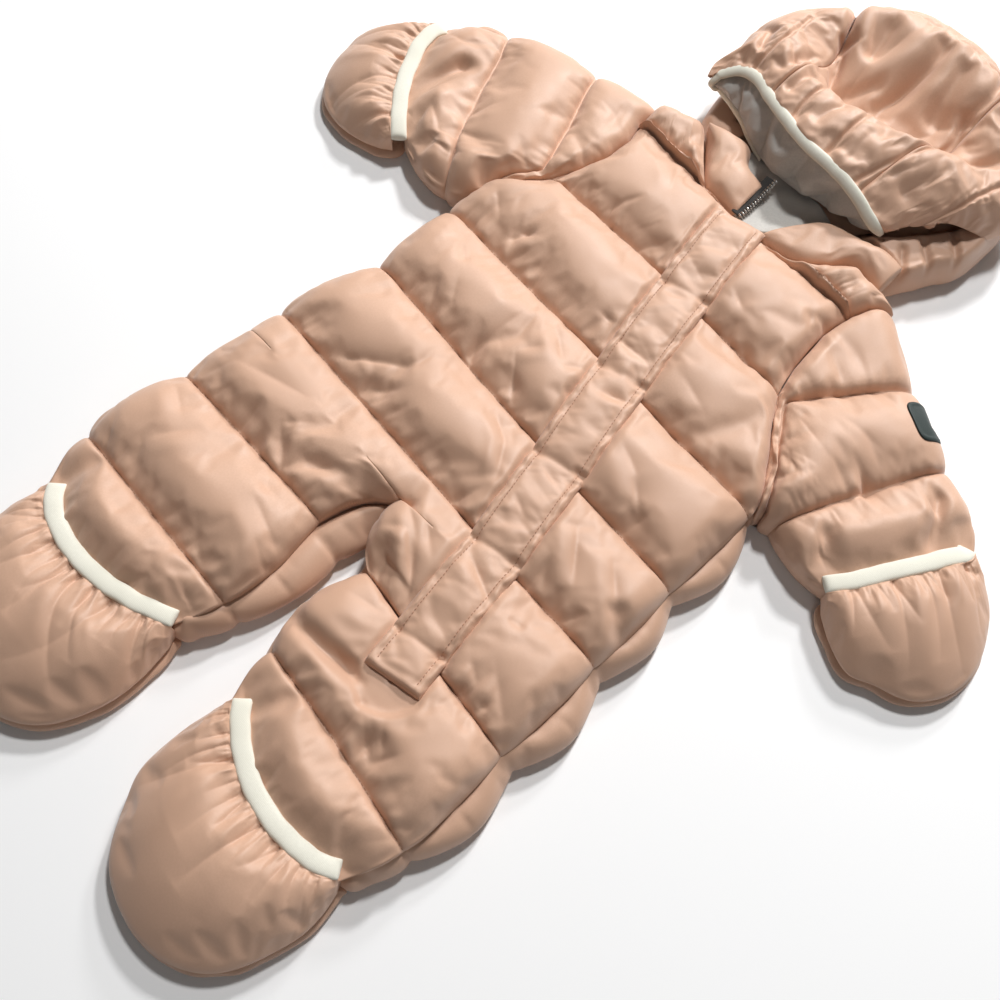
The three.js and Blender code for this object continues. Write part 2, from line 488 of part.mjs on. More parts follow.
// The sections of a quilted panel. Distances across it are measured in from its two ends.
function quilted(rows, options) {
  const { columns, shares, stitchLevel, crown, under } = options;
  const { tail = 0, openStart = false, point = pointAlong } = options;
  const list = stations(rows, shares);
  const lastChannelFrom = list.map((s) => s.channel).lastIndexOf(0);
  return list.map((station, i) => {
    const [a, b] = [rows[station.row], rows[station.row + 1]];
    const finish = (end, what) => lerp(a[end][what], b[end][what], station.share);
    const at = (t) => lerpPoint(point(a.at, t), point(b.at, t), station.share);
    const [first, last] = [at(0), at(1)];
    const across = distance(first, last);
    const out = [(first[0] - last[0]) / across, (first[1] - last[1]) / across];
    let c = station.channel;
    if (i >= lastChannelFrom && tail) c = Math.min(1, c / (1 - tail));
    const full = openStart && station.channel < 1 && i < shares.length ? puff(0.5 + c / 2) : puff(c);
    const top = columns.map((t) => {
      const p = at(t);
      const fromOuter = t * across;
      const fromInner = (1 - t) * across;
      const bulgeOut = finish("outer", "bulge") * full * clamp01(1 - fromOuter / BULGE_REACH);
      const bulgeIn = finish("inner", "bulge") * full * clamp01(1 - fromInner / BULGE_REACH);
      const q = [p[0] + out[0] * (bulgeOut - bulgeIn), p[1] + out[1] * (bulgeOut - bulgeIn)];
      const riseOuter = rise(fromOuter, finish("outer", "round"));
      const riseInner = rise(fromInner, finish("inner", "round"));
      const edge = fromOuter < fromInner ? finish("outer", "level") : finish("inner", "level");
      const up = Math.min(riseOuter, riseInner);
      return [...q, edge + (stitchLevel - edge) * up + crown * full * up - foldDip(q) * up];
    });
    return [...top, ...under(top, out)];
  });
}

const PANEL_SHARES = [0, 0.06, 0.22, 0.5, 0.78, 0.94];
const LEG_TAIL = 0.35;     // the share of a limb's last channel that its cover hides
const SLEEVE_TAIL = 0.42;
const FRONT_COLUMNS = [0, 0.03, 0.09, 0.2, 0.35, 0.5, 0.65, 0.78, 0.86, 0.94, 1];

// The plain inside of a front, which lies on the back.
const flatUnder = (top) => [0.999, 0.5, 0.001].map((t) => {
  const k = Math.round(t * (top.length - 1));
  return [top[k][0], top[k][1], FRONT_FLOOR];
});

// A front, pressed down where the placket lies on it.
function frontRings(rows, options = {}) {
  const rings = quilted(rows, {
    columns: FRONT_COLUMNS, shares: PANEL_SHARES, stitchLevel: STITCH_LEVEL, crown: CROWN, under: flatUnder,
    ...options,
  });
  const pressed = (p) => {
    const near = 1 - smooth((lineDistance(p, CENTRE_FRONT) - PLACKET_HALF - 1) / PLACKET_RAMP);
    return [p[0], p[1], lerp(p[2], Math.min(p[2], placketBed(p[1])), near)];
  };
  const upper = FRONT_COLUMNS.length;
  return rings.map((ring) => ring.map((p, k) => (k < upper ? pressedByTrims(pressed(p)) : p)));
}

function frontRight() {
  const panel = solid(skin(frontRings(FRONT_RIGHT, { tail: LEG_TAIL }), FRONT_COLUMNS.length));
  const crotch = solid(skin(frontRings(CROTCH, { openStart: true }), FRONT_COLUMNS.length));
  return geometryOf(panel.add(crotch));
}

// Half of the back: flat underneath, level on top where the front lies, and rolled up along its free outline.
function backHalf(rows) {
  return skin(rows.map((row) => {
    const across = distance(row.outer, row.inner);
    const into = [(row.inner[0] - row.outer[0]) / across, (row.inner[1] - row.outer[1]) / across];
    const from = (point, d, z) => [point[0] + into[0] * d, point[1] + into[1] * d, z];
    const roll = (point, wrap, sign) => [
      from(point, sign * (wrap + 0.02), BACK_TOP),
      from(point, sign * wrap * 0.45, BACK_TOP - 3),
      from(point, 0, BACK_TOP / 2),
    ];
    const top = [...roll(row.outer, row.wrapOuter, 1).reverse(), ...roll(row.inner, row.wrapInner, -1)];
    const tuck = (wrap) => Math.min(8, wrap);
    const foot = [from(row.inner, -tuck(row.wrapInner), 0), from(row.outer, tuck(row.wrapOuter), 0)];
    return [...top, ...foot];
  }), 6);
}

// A sleeve: a flattened padded tube with its two walls lying on each other.
function sleeve(rows) {
  const corners = rows[0].at.length - 1;
  const inner = [...Array(corners - 1).keys()].map((k) => k + 1);
  const columns = [0, 0.2, 0.6, ...inner, corners - 0.6, corners - 0.2, corners].map((c) => c / corners);
  const under = (top, out) => {
    const inset = (p, d, z) => [p[0] - out[0] * d, p[1] - out[1] * d, z];
    const [first, last] = [top[0], top[top.length - 1]];
    const flat = top.slice(3, -3).map(([x, y]) => [x, y, 0]).reverse();
    return [inset(last, -1, 6), ...flat, inset(first, 1, 6)];
  };
  const walls = quilted(rows, {
    columns, shares: PANEL_SHARES, stitchLevel: SLEEVE_STITCH_LEVEL, crown: SLEEVE_CROWN, under,
    tail: SLEEVE_TAIL, point: pointAtCorner,
  });
  const upper = columns.length;
  return skin(walls.map((ring) => ring.map((p, k) => (k < upper ? pressedByTrims(p) : p))), upper);
}

// A hand or foot cover, gathered by the elastic along its trim: pleats run from the trim towards the rim.
function cover({ kind, crown, mouth, trim, rim }) {
  const pleats = COVER_PLEATS[kind];
  const shares = [0, 0.12, 0.3, 0.52, 0.76, 0.93, 1];
  const sole = SOLE[kind];
  const rings = [];
  for (let k = 0; k <= 2 * pleats; k++) {
    const t = k / (2 * pleats);
    const from = pointAlong(trim, t);
    const to = pointAlong(rim, t);
    const middle = Math.sin(Math.PI * clamp01(t)) ** 0.5;
    const pleat = k % 2 ? -PLEAT : PLEAT;
    const top = shares.map((u) => {
      const [x, y] = lerpPoint(from, to, u);
      const edges = lerp(lerp(mouth - 6, mouth, middle), sole + 4, u);
      const dome = 0.55 * crown * middle * Math.sin(Math.PI * u ** 0.85) ** 0.8;
      return [x, y, edges + dome + pleat * (1 - u) ** 1.5];
    });
    const tuck = mouth - 5;
    const ledge = lerp(tuck - 6, tuck, middle);
    const steps = [[1, sole + GAP], [0.34, sole + GAP], [0.3, ledge], [0, ledge]];
    rings.push([...top, ...steps.map(([u, z]) => [...lerpPoint(from, to, u), z])]);
  }
  return skin(rings, shares.length);
}

// The layer under a cover, from the rim back to where the leg or sleeve ends.
function coverUnder({ kind, rim, back }) {
  const depth = SOLE[kind];
  const rings = [];
  const count = 18;
  for (let k = 0; k <= count; k++) {
    const t = k / count;
    const from = pointAlong(back, t);
    const to = pointAlong(rim, t);
    const out = lerpPoint(to, [from[0], from[1]], -2 / Math.max(20, distance(from, to)));
    const soft = lerpPoint(to, from, 6 / Math.max(20, distance(from, to)));
    rings.push([[...from, depth], [...to, depth], [...out, depth / 2], [...soft, 0], [...from, 0]]);
  }
  return skin(rings, 3);
}

// The elastic band along a cover's trim, laid over the end of the leg or sleeve.
function elastic({ trim, mouth }) {
  const rings = [];
  const count = 18;
  for (let k = 0; k <= count; k++) {
    const t = k / count;
    const p = pointAlong(trim, t);
    const side = towardsBody(trim, t);
    const top = lerp(mouth - 10, mouth + 0.5, Math.sin(Math.PI * t) ** 0.4);
    const at = (d, z) => [p[0] + side[0] * d, p[1] + side[1] * d, z];
    rings.push([
      at(0, top - 0.6), at(ELASTIC_WIDE / 2, top), at(ELASTIC_WIDE, top - 0.6),
      at(ELASTIC_WIDE, top - ELASTIC_THICK - 1.5), at(0, top - ELASTIC_THICK - 1.5),
    ]);
  }
  return skin(rings, 3);
}

// The direction across a trim, towards the body.
function towardsBody(trim, t) {
  const ahead = pointAlong(trim, t + 0.03);
  const behind = pointAlong(trim, t - 0.03);
  const run = distance(ahead, behind);
  const side = [-(ahead[1] - behind[1]) / run, (ahead[0] - behind[0]) / run];
  const middle = pointAlong(trim, 0.5);
  return side[0] * -middle[0] + side[1] * (40 - middle[1]) > 0 ? side : side.map((v) => -v);
}

// The placket's section: places across it, -1 to 1, with how much of its thickness it has there. The dips are
// its two rows of stitches. Then the places of its underside.
const PLACKET_SECTION = [
  [-1, 1 / 3], [-0.97, 0.75], [-0.86, 1], [-0.7, 0.7], [-0.5, 1],
  [0.5, 1], [0.7, 0.7], [0.86, 1], [0.97, 0.75], [1, 1 / 3],
];
const PLACKET_SHARES = [1, 0.5, 0, -0.5, -1];

// A sewn strip over the meeting edges of the fronts, following the ground that it lies on.
function placket() {
  const rings = [];
  const count = 32;
  for (let k = 0; k <= count; k++) {
    const p = pointAlong(CENTRE_FRONT, k / count);
    const ahead = pointAlong(CENTRE_FRONT, (k + 1) / count);
    const behind = pointAlong(CENTRE_FRONT, (k - 1) / count);
    const run = distance(ahead, behind);
    const side = [(ahead[1] - behind[1]) / run, -(ahead[0] - behind[0]) / run];
    const at = (share, above) => {
      const [x, y] = [p[0] + side[0] * share * PLACKET_HALF, p[1] + side[1] * share * PLACKET_HALF];
      return [x, y, placketBed(y) + PLACKET_CLEAR + above];
    };
    const top = PLACKET_SECTION.map(([share, full]) => at(share, full * PLACKET_THICK));
    rings.push([...top, ...PLACKET_SHARES.map((share) => at(share, 0))]);
  }
  return skin(rings, PLACKET_SECTION.length);
}

// A smooth curve through a list of values or points, at a place counted in list steps.
function through(list, place) {
  const i = Math.min(Math.max(Math.floor(place), 0), list.length - 2);
  const f = place - i;
  const at = (k) => list[Math.min(Math.max(k, 0), list.length - 1)];
  return list[i].map((_, c) => {
    const [p, q, r, s] = [at(i - 1)[c], at(i)[c], at(i + 1)[c], at(i + 2)[c]];
    return q + 0.5 * f * (r - p + f * (2 * p - 5 * q + 4 * r - s + f * (3 * (q - r) + s - p)));
  });
}

// The outer section of the hood's upper side at a place along its table, from the brim to where it rests.
function hoodSection(place) {
  const lines = ["brim", "ridge", "dent", "crown", "side", "foot"];
  const along = lines.map((name) => through(HOOD.map((row) => row[name]), place));
  const section = [];
  for (let v = 0; v <= 10; v++) {
    const [x, y, z] = through(along, v / 2);
    section.push([x, y, Math.max(z - hoodSeamDip([x, y]), HOOD_FLOOR)]);
  }
  section[10][2] = HOOD_FLOOR;
  return section;
}

// A panel of the hood's upper side between two places along the table: a padded wall around the hollow.
function hoodPanel(from, to) {
  const rings = [];
  const count = Math.round((to - from) * 2.5);
  for (let k = 0; k <= count; k++) {
    const outer = hoodSection(lerp(from, to, k / count));
    const inner = outer.map(([x, y, z], v) => {
      const down = v < 8 ? HOOD_WALL : 0;
      const into = v < 8 ? (v / 8) * 0.6 * HOOD_WALL : 1.1 * HOOD_WALL;
      const run = Math.hypot(x - HOOD_MIDDLE[0], y - HOOD_MIDDLE[1]);
      const [inX, inY] = [(x - HOOD_MIDDLE[0]) / run, (y - HOOD_MIDDLE[1]) / run];
      return [x - into * inX, y - into * inY, Math.max(z - down, HOOD_FLOOR)];
    });
    rings.push([...outer, ...inner.reverse()]);
  }
  return skin(rings, 11);
}

// A layer that lies flat between two edges, given from its outer to its inner end, with rounded rims.
function layer(front, back, { floor, top, round = 5, count = 20 }) {
  const rings = [];
  for (let k = 0; k <= count; k++) {
    const [p, q] = [pointAlong(front, k / count), pointAlong(back, k / count)];
    const run = Math.max(1, distance(p, q));
    const at = (d, z) => [...lerpPoint(p, q, d / run), z];
    const middle = (floor + top) / 2;
    const upper = [at(0, middle), at(round, top), at(run / 2, top), at(run - round, top), at(run, middle)];
    rings.push([...upper, at(run - round, floor), at(round, floor)]);
  }
  return skin(rings, 5);
}

const PUFFED_SHARES = [0, 0.08, 0.25, 0.5, 0.75, 0.92, 1];

// A padded panel between an upper and a lower edge, crowned between them.
function puffed(front, back, { floor, edge, crown, count = 16 }) {
  const rings = [];
  for (let k = 0; k <= count; k++) {
    const [p, q] = [pointAlong(front, k / count), pointAlong(back, k / count)];
    const ends = Math.min(1, Math.sin((Math.PI * k) / count) + 0.25) ** 0.5;
    const top = PUFFED_SHARES.map((u) => [...lerpPoint(p, q, u), edge + crown * ends * puff(u)]);
    rings.push([...top, [...q, floor], [...p, floor]]);
  }
  return skin(rings, PUFFED_SHARES.length);
}

// The facing's section: distances in from the lip, with its height over the lip there.
const FACING_ROLL = [[0, 0], [3, 8], [9, 13], [18, 15], [30, 12], [40, 4]];

// The fleece that shows in the hood's mouth, rolled over its lower lip.
function facing() {
  const rings = [];
  const count = 26;
  for (let k = 0; k <= count; k++) {
    const [x, y, z] = through(FACING_LIP, (k / count) * (FACING_LIP.length - 1));
    const folds = 1.6 * Math.sin(k * 1.9) + 1.2 * Math.sin(k * 0.8 + 1);
    const ends = Math.min(1, 3 * Math.sin((Math.PI * k) / count));
    const top = FACING_ROLL.map(([d, h]) => [x, y + d, z + (h + (d > 0 ? folds : 0)) * ends]);
    rings.push([...top, [x, y + 40, HOOD_FLOOR], [x, y + 2, HOOD_FLOOR]]);
  }
  return skin(rings, FACING_ROLL.length);
}

// The band's section: forward of the brim and up from it.
const BRIM_BAND = [[0.3, 1], [2.5, 0.5], [3.5, -4], [2.5, -8.5], [0.3, -9]];

// The hood's elastic edge: a band that covers the brim.
function hoodElastic() {
  const rings = [];
  const count = 18;
  for (let k = 0; k <= count; k++) {
    const [x, y, z] = hoodSection((k / count) * (HOOD.length - 1))[0];
    rings.push(BRIM_BAND.map(([forward, up]) => [x, y - forward, z + up]));
  }
  return skin(rings, 3);
}

// The height of a solid's top at a point in plan.
function topOf(geometry, x, y) {
  const [p, index] = [geometry.attributes.position, geometry.index];
  let top = -Infinity;
  for (let i = 0; i < index.count; i += 3) {
    const [a, b, c] = [0, 1, 2].map((k) => new THREE.Vector3().fromBufferAttribute(p, index.getX(i + k)));
    const area = (b.x - a.x) * (c.y - a.y) - (c.x - a.x) * (b.y - a.y);
    if (Math.abs(area) < 1e-9) continue;
    const u = ((b.x - x) * (c.y - y) - (c.x - x) * (b.y - y)) / area;
    const v = ((c.x - x) * (a.y - y) - (a.x - x) * (c.y - y)) / area;
    if (u < -1e-6 || v < -1e-6 || u + v > 1 + 1e-6) continue;
    top = Math.max(top, u * a.z + v * b.z + (1 - u - v) * c.z);
  }
  return top;
}

// A plain patch with rounded corners, sewn on a sleeve.
function patch(sleeveGeometry) {
  const { centre, along, half, thick, roundness } = PATCH;
  const across = [-along[1], along[0]];
  const count = 8;
  const rings = [];
  for (let k = 0; k <= count; k++) {
    const u = -0.98 + (1.96 * k) / count;
    const reach = (1 - Math.abs(u) ** roundness) ** (1 / roundness);
    const at = (v, above) => {
      const [x, y] = centre.map((c, i) => c + along[i] * u * half[0] + across[i] * v * reach * half[1]);
      return [x, y, topOf(sleeveGeometry, x, y) + above];
    };
    const shares = [-1, -0.6, -0.2, 0.2, 0.6, 1];
    rings.push([...shares.map((v) => at(v, thick)), ...shares.reverse().map((v) => at(v, -0.5))]);
  }
  return skin(rings, 6);
}

// A piece cut clear of its neighbours, which are moved a seam gap along each direction first.
function clearOf(geometry, neighbours, directions = [[0, 0, 1]]) {
  let left = solid(geometry);
  for (const neighbour of neighbours)
    for (const way of directions) left = left.subtract(solid(neighbour).translate(way.map((v) => v * GAP)));
  const bodies = left.decompose().sort((a, b) => b.volume() - a.volume());
  return geometryOf(bodies[0]);
}

const pieces = {};
pieces.front_right = frontRight();
pieces.front_left = skin(frontRings(FRONT_LEFT, { tail: LEG_TAIL }), FRONT_COLUMNS.length);
pieces.back = geometryOf(solid(backHalf(BACK_RIGHT)).add(solid(backHalf(BACK_LEFT))));
pieces.sleeve_right = clearOf(sleeve(SLEEVE_RIGHT), [pieces.front_right, pieces.back], [[-1, 0, 0],
  [0, 0, 0]]);
pieces.sleeve_left = clearOf(sleeve(SLEEVE_LEFT), [pieces.front_left, pieces.back], [[1, 0, 0], [0, 0, 0]]);
const fronts = [pieces.front_right, pieces.front_left];
pieces.placket = clearOf(placket(), fronts);
const LIMBS = {
  foot_right: { carries: [pieces.front_right, pieces.back], away: [0, -1, 0] },
  foot_left: { carries: [pieces.front_left, pieces.back], away: [0, -1, 0] },
  mitten_right: { carries: [pieces.sleeve_right], away: [-1, -1, 0] },
  mitten_left: { carries: [pieces.sleeve_left], away: [1, -1, 0] },
};
for (const [name, { carries, away }] of Object.entries(LIMBS)) {
  const sizes = COVERS[name];
  const band = clearOf(elastic(sizes), carries, [[0, 0, 1], [0, 0, 0]]);
  const under = clearOf(coverUnder(sizes), carries, [away, [0, 0, 0]]);
  pieces[`${name}_elastic`] = band;
  pieces[`${name}_under`] = under;
  pieces[`${name}_cover`] = clearOf(cover(sizes), [...carries, band, under], [[0, 0, 1], [0, 0, 0]]);
}
pieces.sleeve_patch = clearOf(patch(pieces.sleeve_left), [pieces.sleeve_left]);
pieces.hood_under = layer(
  HOOD_UNDER.neck, HOOD_UNDER.crown, { floor: 0, top: BACK_TOP, round: 8, count: 28 },
);
const [FIRST_SEAM, LAST_SEAM] = HOOD_PANEL_SEAMS;
pieces.hood_right = hoodPanel(0, FIRST_SEAM - HOOD_SEAM_HALF);
pieces.hood_centre = hoodPanel(FIRST_SEAM + HOOD_SEAM_HALF, LAST_SEAM - HOOD_SEAM_HALF);
pieces.hood_left = hoodPanel(LAST_SEAM + HOOD_SEAM_HALF, HOOD.length - 1);
const hood = [pieces.hood_right, pieces.hood_centre, pieces.hood_left];
pieces.hood_elastic = clearOf(hoodElastic(), hood, [[0, -1, 0], [0, 0, 0]]);
pieces.hood_facing = clearOf(facing(), [...hood, pieces.hood_elastic], [[0, 0, -1], [0, 0, 0]]);
pieces.neck_lining = layer(
  NECK_LINING.front, NECK_LINING.back, { floor: FRONT_FLOOR, top: FRONT_FLOOR + 3, round: 1.4, count: 8 },
);
const COLLAR_BESIDE = [...fronts, pieces.placket, pieces.neck_lining];
for (const [name, { top, base, crown }] of Object.entries(COLLARS)) {
  const whole = puffed(top, base, { floor: FRONT_FLOOR, edge: 27, crown });
  pieces[name] = clearOf(whole, COLLAR_BESIDE, [[0, 1, 0], [0, 0, 1], [0, 0, 0]]);
}
pieces.zip_tape = clearOf(
  layer(ZIP_TAPE.outer, ZIP_TAPE.inner, { floor: 29, top: 32, round: 1, count: 6 }),
  [pieces.collar_right, pieces.placket, ...fronts],
  [[0, 0, 1], [0, 1, 0], [1, 0, 0]],
);

const finishOf = (name) => {
  if (name.includes("elastic")) return FINISHES.binding;
  if (name.includes("facing") || name.includes("lining")) return FINISHES.fleece;
  if (name.includes("tape")) return FINISHES.tape;
  if (name.includes("patch")) return FINISHES.patch;
  return FINISHES.shell;
};
const group = new THREE.Group();
for (const [name, geometry] of Object.entries(pieces)) {
  const mesh = new THREE.Mesh(geometry, finishOf(name));
  mesh.name = name;
  group.add(mesh);
}

export default group;
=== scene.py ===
# The looks of a baby's quilted snowsuit, laid on its back on a pale floor.
# Tables are in millimetres in the frame's own axes: +Y to the hood, +X to the wearer's left,
# and the floor at 0.
import math

import bmesh
import bpy
import numpy as np
from mathutils import Matrix, Vector


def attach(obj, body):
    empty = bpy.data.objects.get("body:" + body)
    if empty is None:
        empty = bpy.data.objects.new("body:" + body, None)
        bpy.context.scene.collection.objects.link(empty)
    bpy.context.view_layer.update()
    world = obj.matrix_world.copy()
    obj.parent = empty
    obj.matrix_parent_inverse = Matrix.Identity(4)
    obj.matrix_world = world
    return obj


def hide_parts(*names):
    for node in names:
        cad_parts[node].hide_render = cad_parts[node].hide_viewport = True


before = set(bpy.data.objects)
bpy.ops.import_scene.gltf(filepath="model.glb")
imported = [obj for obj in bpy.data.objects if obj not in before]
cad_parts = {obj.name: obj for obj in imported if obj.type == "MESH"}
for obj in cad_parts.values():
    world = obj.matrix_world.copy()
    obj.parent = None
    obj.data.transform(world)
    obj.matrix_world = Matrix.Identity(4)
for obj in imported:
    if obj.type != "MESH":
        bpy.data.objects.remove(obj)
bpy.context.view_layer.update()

MM = 0.001
GRID = 3.0                 # spacing of the simulated cloth
FRONT_FLOOR = 17.3         # the front lies on the back at this height
STITCH_LEVEL = 27.0        # the fronts' height at a row of quilting
CROWN = 15.0               # how far a channel of the fronts rises above its stitches
SLEEVE_STITCH_LEVEL = 25.0
SLEEVE_CROWN = 14.0
QUILT_SLACK = 0.022        # spare cloth of the quilted panels, as a share
PLACKET_HALF = 21.0        # half the placket's width
PLACKET_BED = 31.0         # height of the fronts under the placket at a row of quilting
PLACKET_LOFT = 5.0         # how much higher they are between two rows
BELOW_PLACKET = -279       # the first row of quilting below the placket, in plan
TOPSTITCH = 0.71           # place of the placket's stitches, as a share of its half width
ELASTIC_WIDE = 10.0
COVER_COLUMN = 2.4         # spacing of a cover's grid along its outer seam
COVER_ROWS = {"foot": 38, "mitten": 28}
RING_STEP = 3.0            # spacing of the points round a low pad

# How a panel's edge is finished: its height, how far in it rounds over, and how far its channels stand out.
SIDE = (20.0, 25.0, 5.0)
SIDE_SEAM = (22.0, 20.0, 2.5)
SEWN = (25.0, 12.0, 0.0)
CENTRE = (29.0, 10.0, 0.0)
TUBE_SIDE = (12.0, 24.0, 4.0)

CENTRE_FRONT = [(-6, 173), (11, 97), (31, 17), (52, -59), (71, -130), (86, -204), (93, -232)]
ARMHOLE_RIGHT = [(-122, 206), (-121, 183), (-115, 165), (-114, 140), (-120, 118), (-129, 98),
    (-146, 73), (-152, 50)]
ARMHOLE_LEFT = [(118, 201), (106, 190), (100, 174), (97, 150), (102, 115), (109, 92), (122, 73),
    (142, 46), (157, 22)]

# Rows across each front. Each is its points from the side to the middle, whether it is sewn down, and its
# place in its channel or None.
# A block's rows all have as many points, and the blocks of a panel meet at the rows they share.
FRONT_RIGHT = {
    "body": [
        (((-122, 206), (-100, 214), (-87, 218)), True, None),
        (((-121, 183), (-72, 181), (-48, 179)), True, None),
        (((-120.5, 181), (-40, 176), (-6.3, 173)), True, None),
        (((-115, 165), (-36, 162), (-3, 160)), False, None),
        (((-114, 140), (-33, 139), (1.5, 138)), False, None),
        (((-120, 118), (-32, 118), (6, 117)), False, None),
        (((-129, 98), (-31, 99), (10.7, 97)), True, None),
        (((-146, 73), (-32, 74), (17, 73)), False, None),
        (((-152, 50), (-30, 48), (23, 49)), False, None),
        (((-157, 22), (-26, 18.5), (30.7, 17)), True, None),
        (((-154, -14), (-18, -20), (41, -22)), False, None),
        (((-153, -47), (-10, -56), (51.7, -59)), True, None),
        (((-163, -88), (-6, -94), (61, -96)), False, None),
        (((-168, -124), (-1, -128), (70.7, -130)), True, None),
        (((-166, -150), (2, -152), (75, -148)), False, 0.34),
    ],
    "leg": [
        (((-166, -150), (2, -152)), False, 0.34),
        (((-168, -172), (-18, -168)), False, 0.6),
        (((-171, -204), (-24, -200)), True, None),
        (((-176, -245), (-18, -243)), False, None),
        (((-175, -280), (-19, -279)), True, None),
        (((-160, -318), (-31, -310)), False, 0.55),
        (((-154, -332), (-36, -322)), True, 0.8),
    ],
    "crotch": [
        (((2, -152), (75, -148)), False, 0.34),
        (((4, -170), (79, -168)), False, 0.6),
        (((12, -188), (83, -188)), False, 0.85),
        (((25, -198), (86, -204.6)), True, None),
    ],
}
FRONT_LEFT = {
    "body": [
        (((118, 201), (75, 206)), True, None),
        (((106, 190), (60, 192)), False, None),
        (((100, 174), (44, 177)), True, None),
        (((99.7, 172), (-5.7, 172.6)), True, None),
        (((97, 150), (-0.5, 150)), False, None),
        (((102, 115), (7.5, 115)), False, None),
        (((109, 92), (11.9, 95)), True, None),
        (((122, 73), (17, 74)), False, None),
        (((142, 46), (24, 47)), False, None),
        (((157, 22), (31, 19)), False, None),
        (((158, 13), (31.6, 16)), True, None),
        (((159, -25), (42, -22)), False, None),
        (((161, -62), (53, -60)), True, None),
        (((163, -97), (62, -96)), False, None),
        (((165, -131), (72, -131)), True, None),
        (((167, -170), (80, -170)), False, None),
        (((168, -210), (86.5, -205)), True, None),
    ],
    "leg": [
        (((168, -210), (86.5, -205), (25, -198.6)), True, None),
        (((171, -250), (88, -243), (19, -238)), False, None),
        (((172, -288), (92, -279), (26, -275)), True, None),
        (((160, -322), (92, -322), (37, -308)), False, 0.55),
        (((154, -336), (94, -336), (42, -320)), True, 0.8),
    ],
}
SLEEVE_RIGHT = [
    (ARMHOLE_RIGHT, True, None),
    (((-183, 197), (-177, 186), (-169, 168), (-155, 140), (-142, 110), (-138, 97), (-154, 72),
        (-158, 50)), True, None),
    (((-260, 172), (-252, 161), (-243, 148), (-227, 115), (-211, 85), (-203, 71), (-191, 54),
        (-180, 37)), True, None),
    (((-287, 151), (-281, 137), (-275, 124), (-262, 98), (-243, 72), (-232, 60), (-222, 50),
        (-212, 38)), False, 0.35),
    (((-304, 126), (-300, 115), (-295, 104), (-282, 84), (-266, 67), (-259, 61), (-250, 54),
        (-238, 46)), True, 0.7),
]
SLEEVE_LEFT = [
    (ARMHOLE_LEFT, True, None),
    (((169, 167), (162, 157), (152, 143), (139, 124), (125, 104), (117, 90), (130, 72), (149, 46),
        (163, 24)), True, None),
    (((222, 139), (217, 127), (211, 114), (204, 98), (197, 82), (192, 70), (187, 58), (180, 40),
        (173, 22)), True, None),
    (((254, 121), (251, 110), (247, 98), (240, 82), (231, 64), (226, 54), (221, 44), (214, 30),
        (206, 17)), False, 0.35),
    (((274, 98), (272, 90), (268, 80), (261, 66), (253, 52), (249, 45), (245, 39), (238, 29),
        (230, 19)), True, 0.7),
]

# The free and sewn outlines of each panel, with their finishes.
OUTLINES = {
    "front_right": [
        (SEWN, [(-122, 206), (-87, 218), (-48, 179), (-48, 177), (-6.3, 173)]),
        (SEWN, ARMHOLE_RIGHT),
        (SIDE, [(-152, 50), (-157, 22), (-154, -14), (-153, -47), (-163, -88), (-168, -124), (-166, -150),
                (-171, -204), (-176, -245), (-175, -280), (-160, -318), (-154, -332)]),
        (CENTRE, CENTRE_FRONT),
        (SIDE_SEAM, [(2, -152), (-18, -168), (-24, -200), (-18, -243), (-19, -279), (-31, -310),
            (-36, -322)]),
        (SIDE_SEAM, [(2, -152), (4, -170), (12, -188), (25, -197)]),
    ],
    "front_left": [
        (SEWN, [(118, 201), (75, 206), (60, 192), (44, 177), (-5.7, 172.6)]),
        (SEWN, ARMHOLE_LEFT),
        (SIDE_SEAM, [(158, 13), (159, -25), (161, -62), (163, -97), (165, -131), (167, -170), (168, -210),
                     (171, -250), (172, -288), (160, -322), (154, -336)]),
        (CENTRE, CENTRE_FRONT),
        (SIDE, [(24, -199), (19, -238), (26, -275), (37, -308), (42, -320)]),
    ],
    "sleeve_right": [
        (SEWN, ARMHOLE_RIGHT),
        (TUBE_SIDE, [(-122, 206), (-183, 197), (-260, 172), (-287, 151), (-304, 126)]),
        (TUBE_SIDE, [(-152, 50), (-158, 50), (-180, 37), (-212, 38), (-238, 46)]),
    ],
    "sleeve_left": [
        (SEWN, ARMHOLE_LEFT),
        (TUBE_SIDE, [(118, 201), (169, 167), (222, 139), (254, 121), (274, 98)]),
        (TUBE_SIDE, [(157, 22), (163, 24), (173, 22), (206, 17), (230, 19)]),
    ],
}

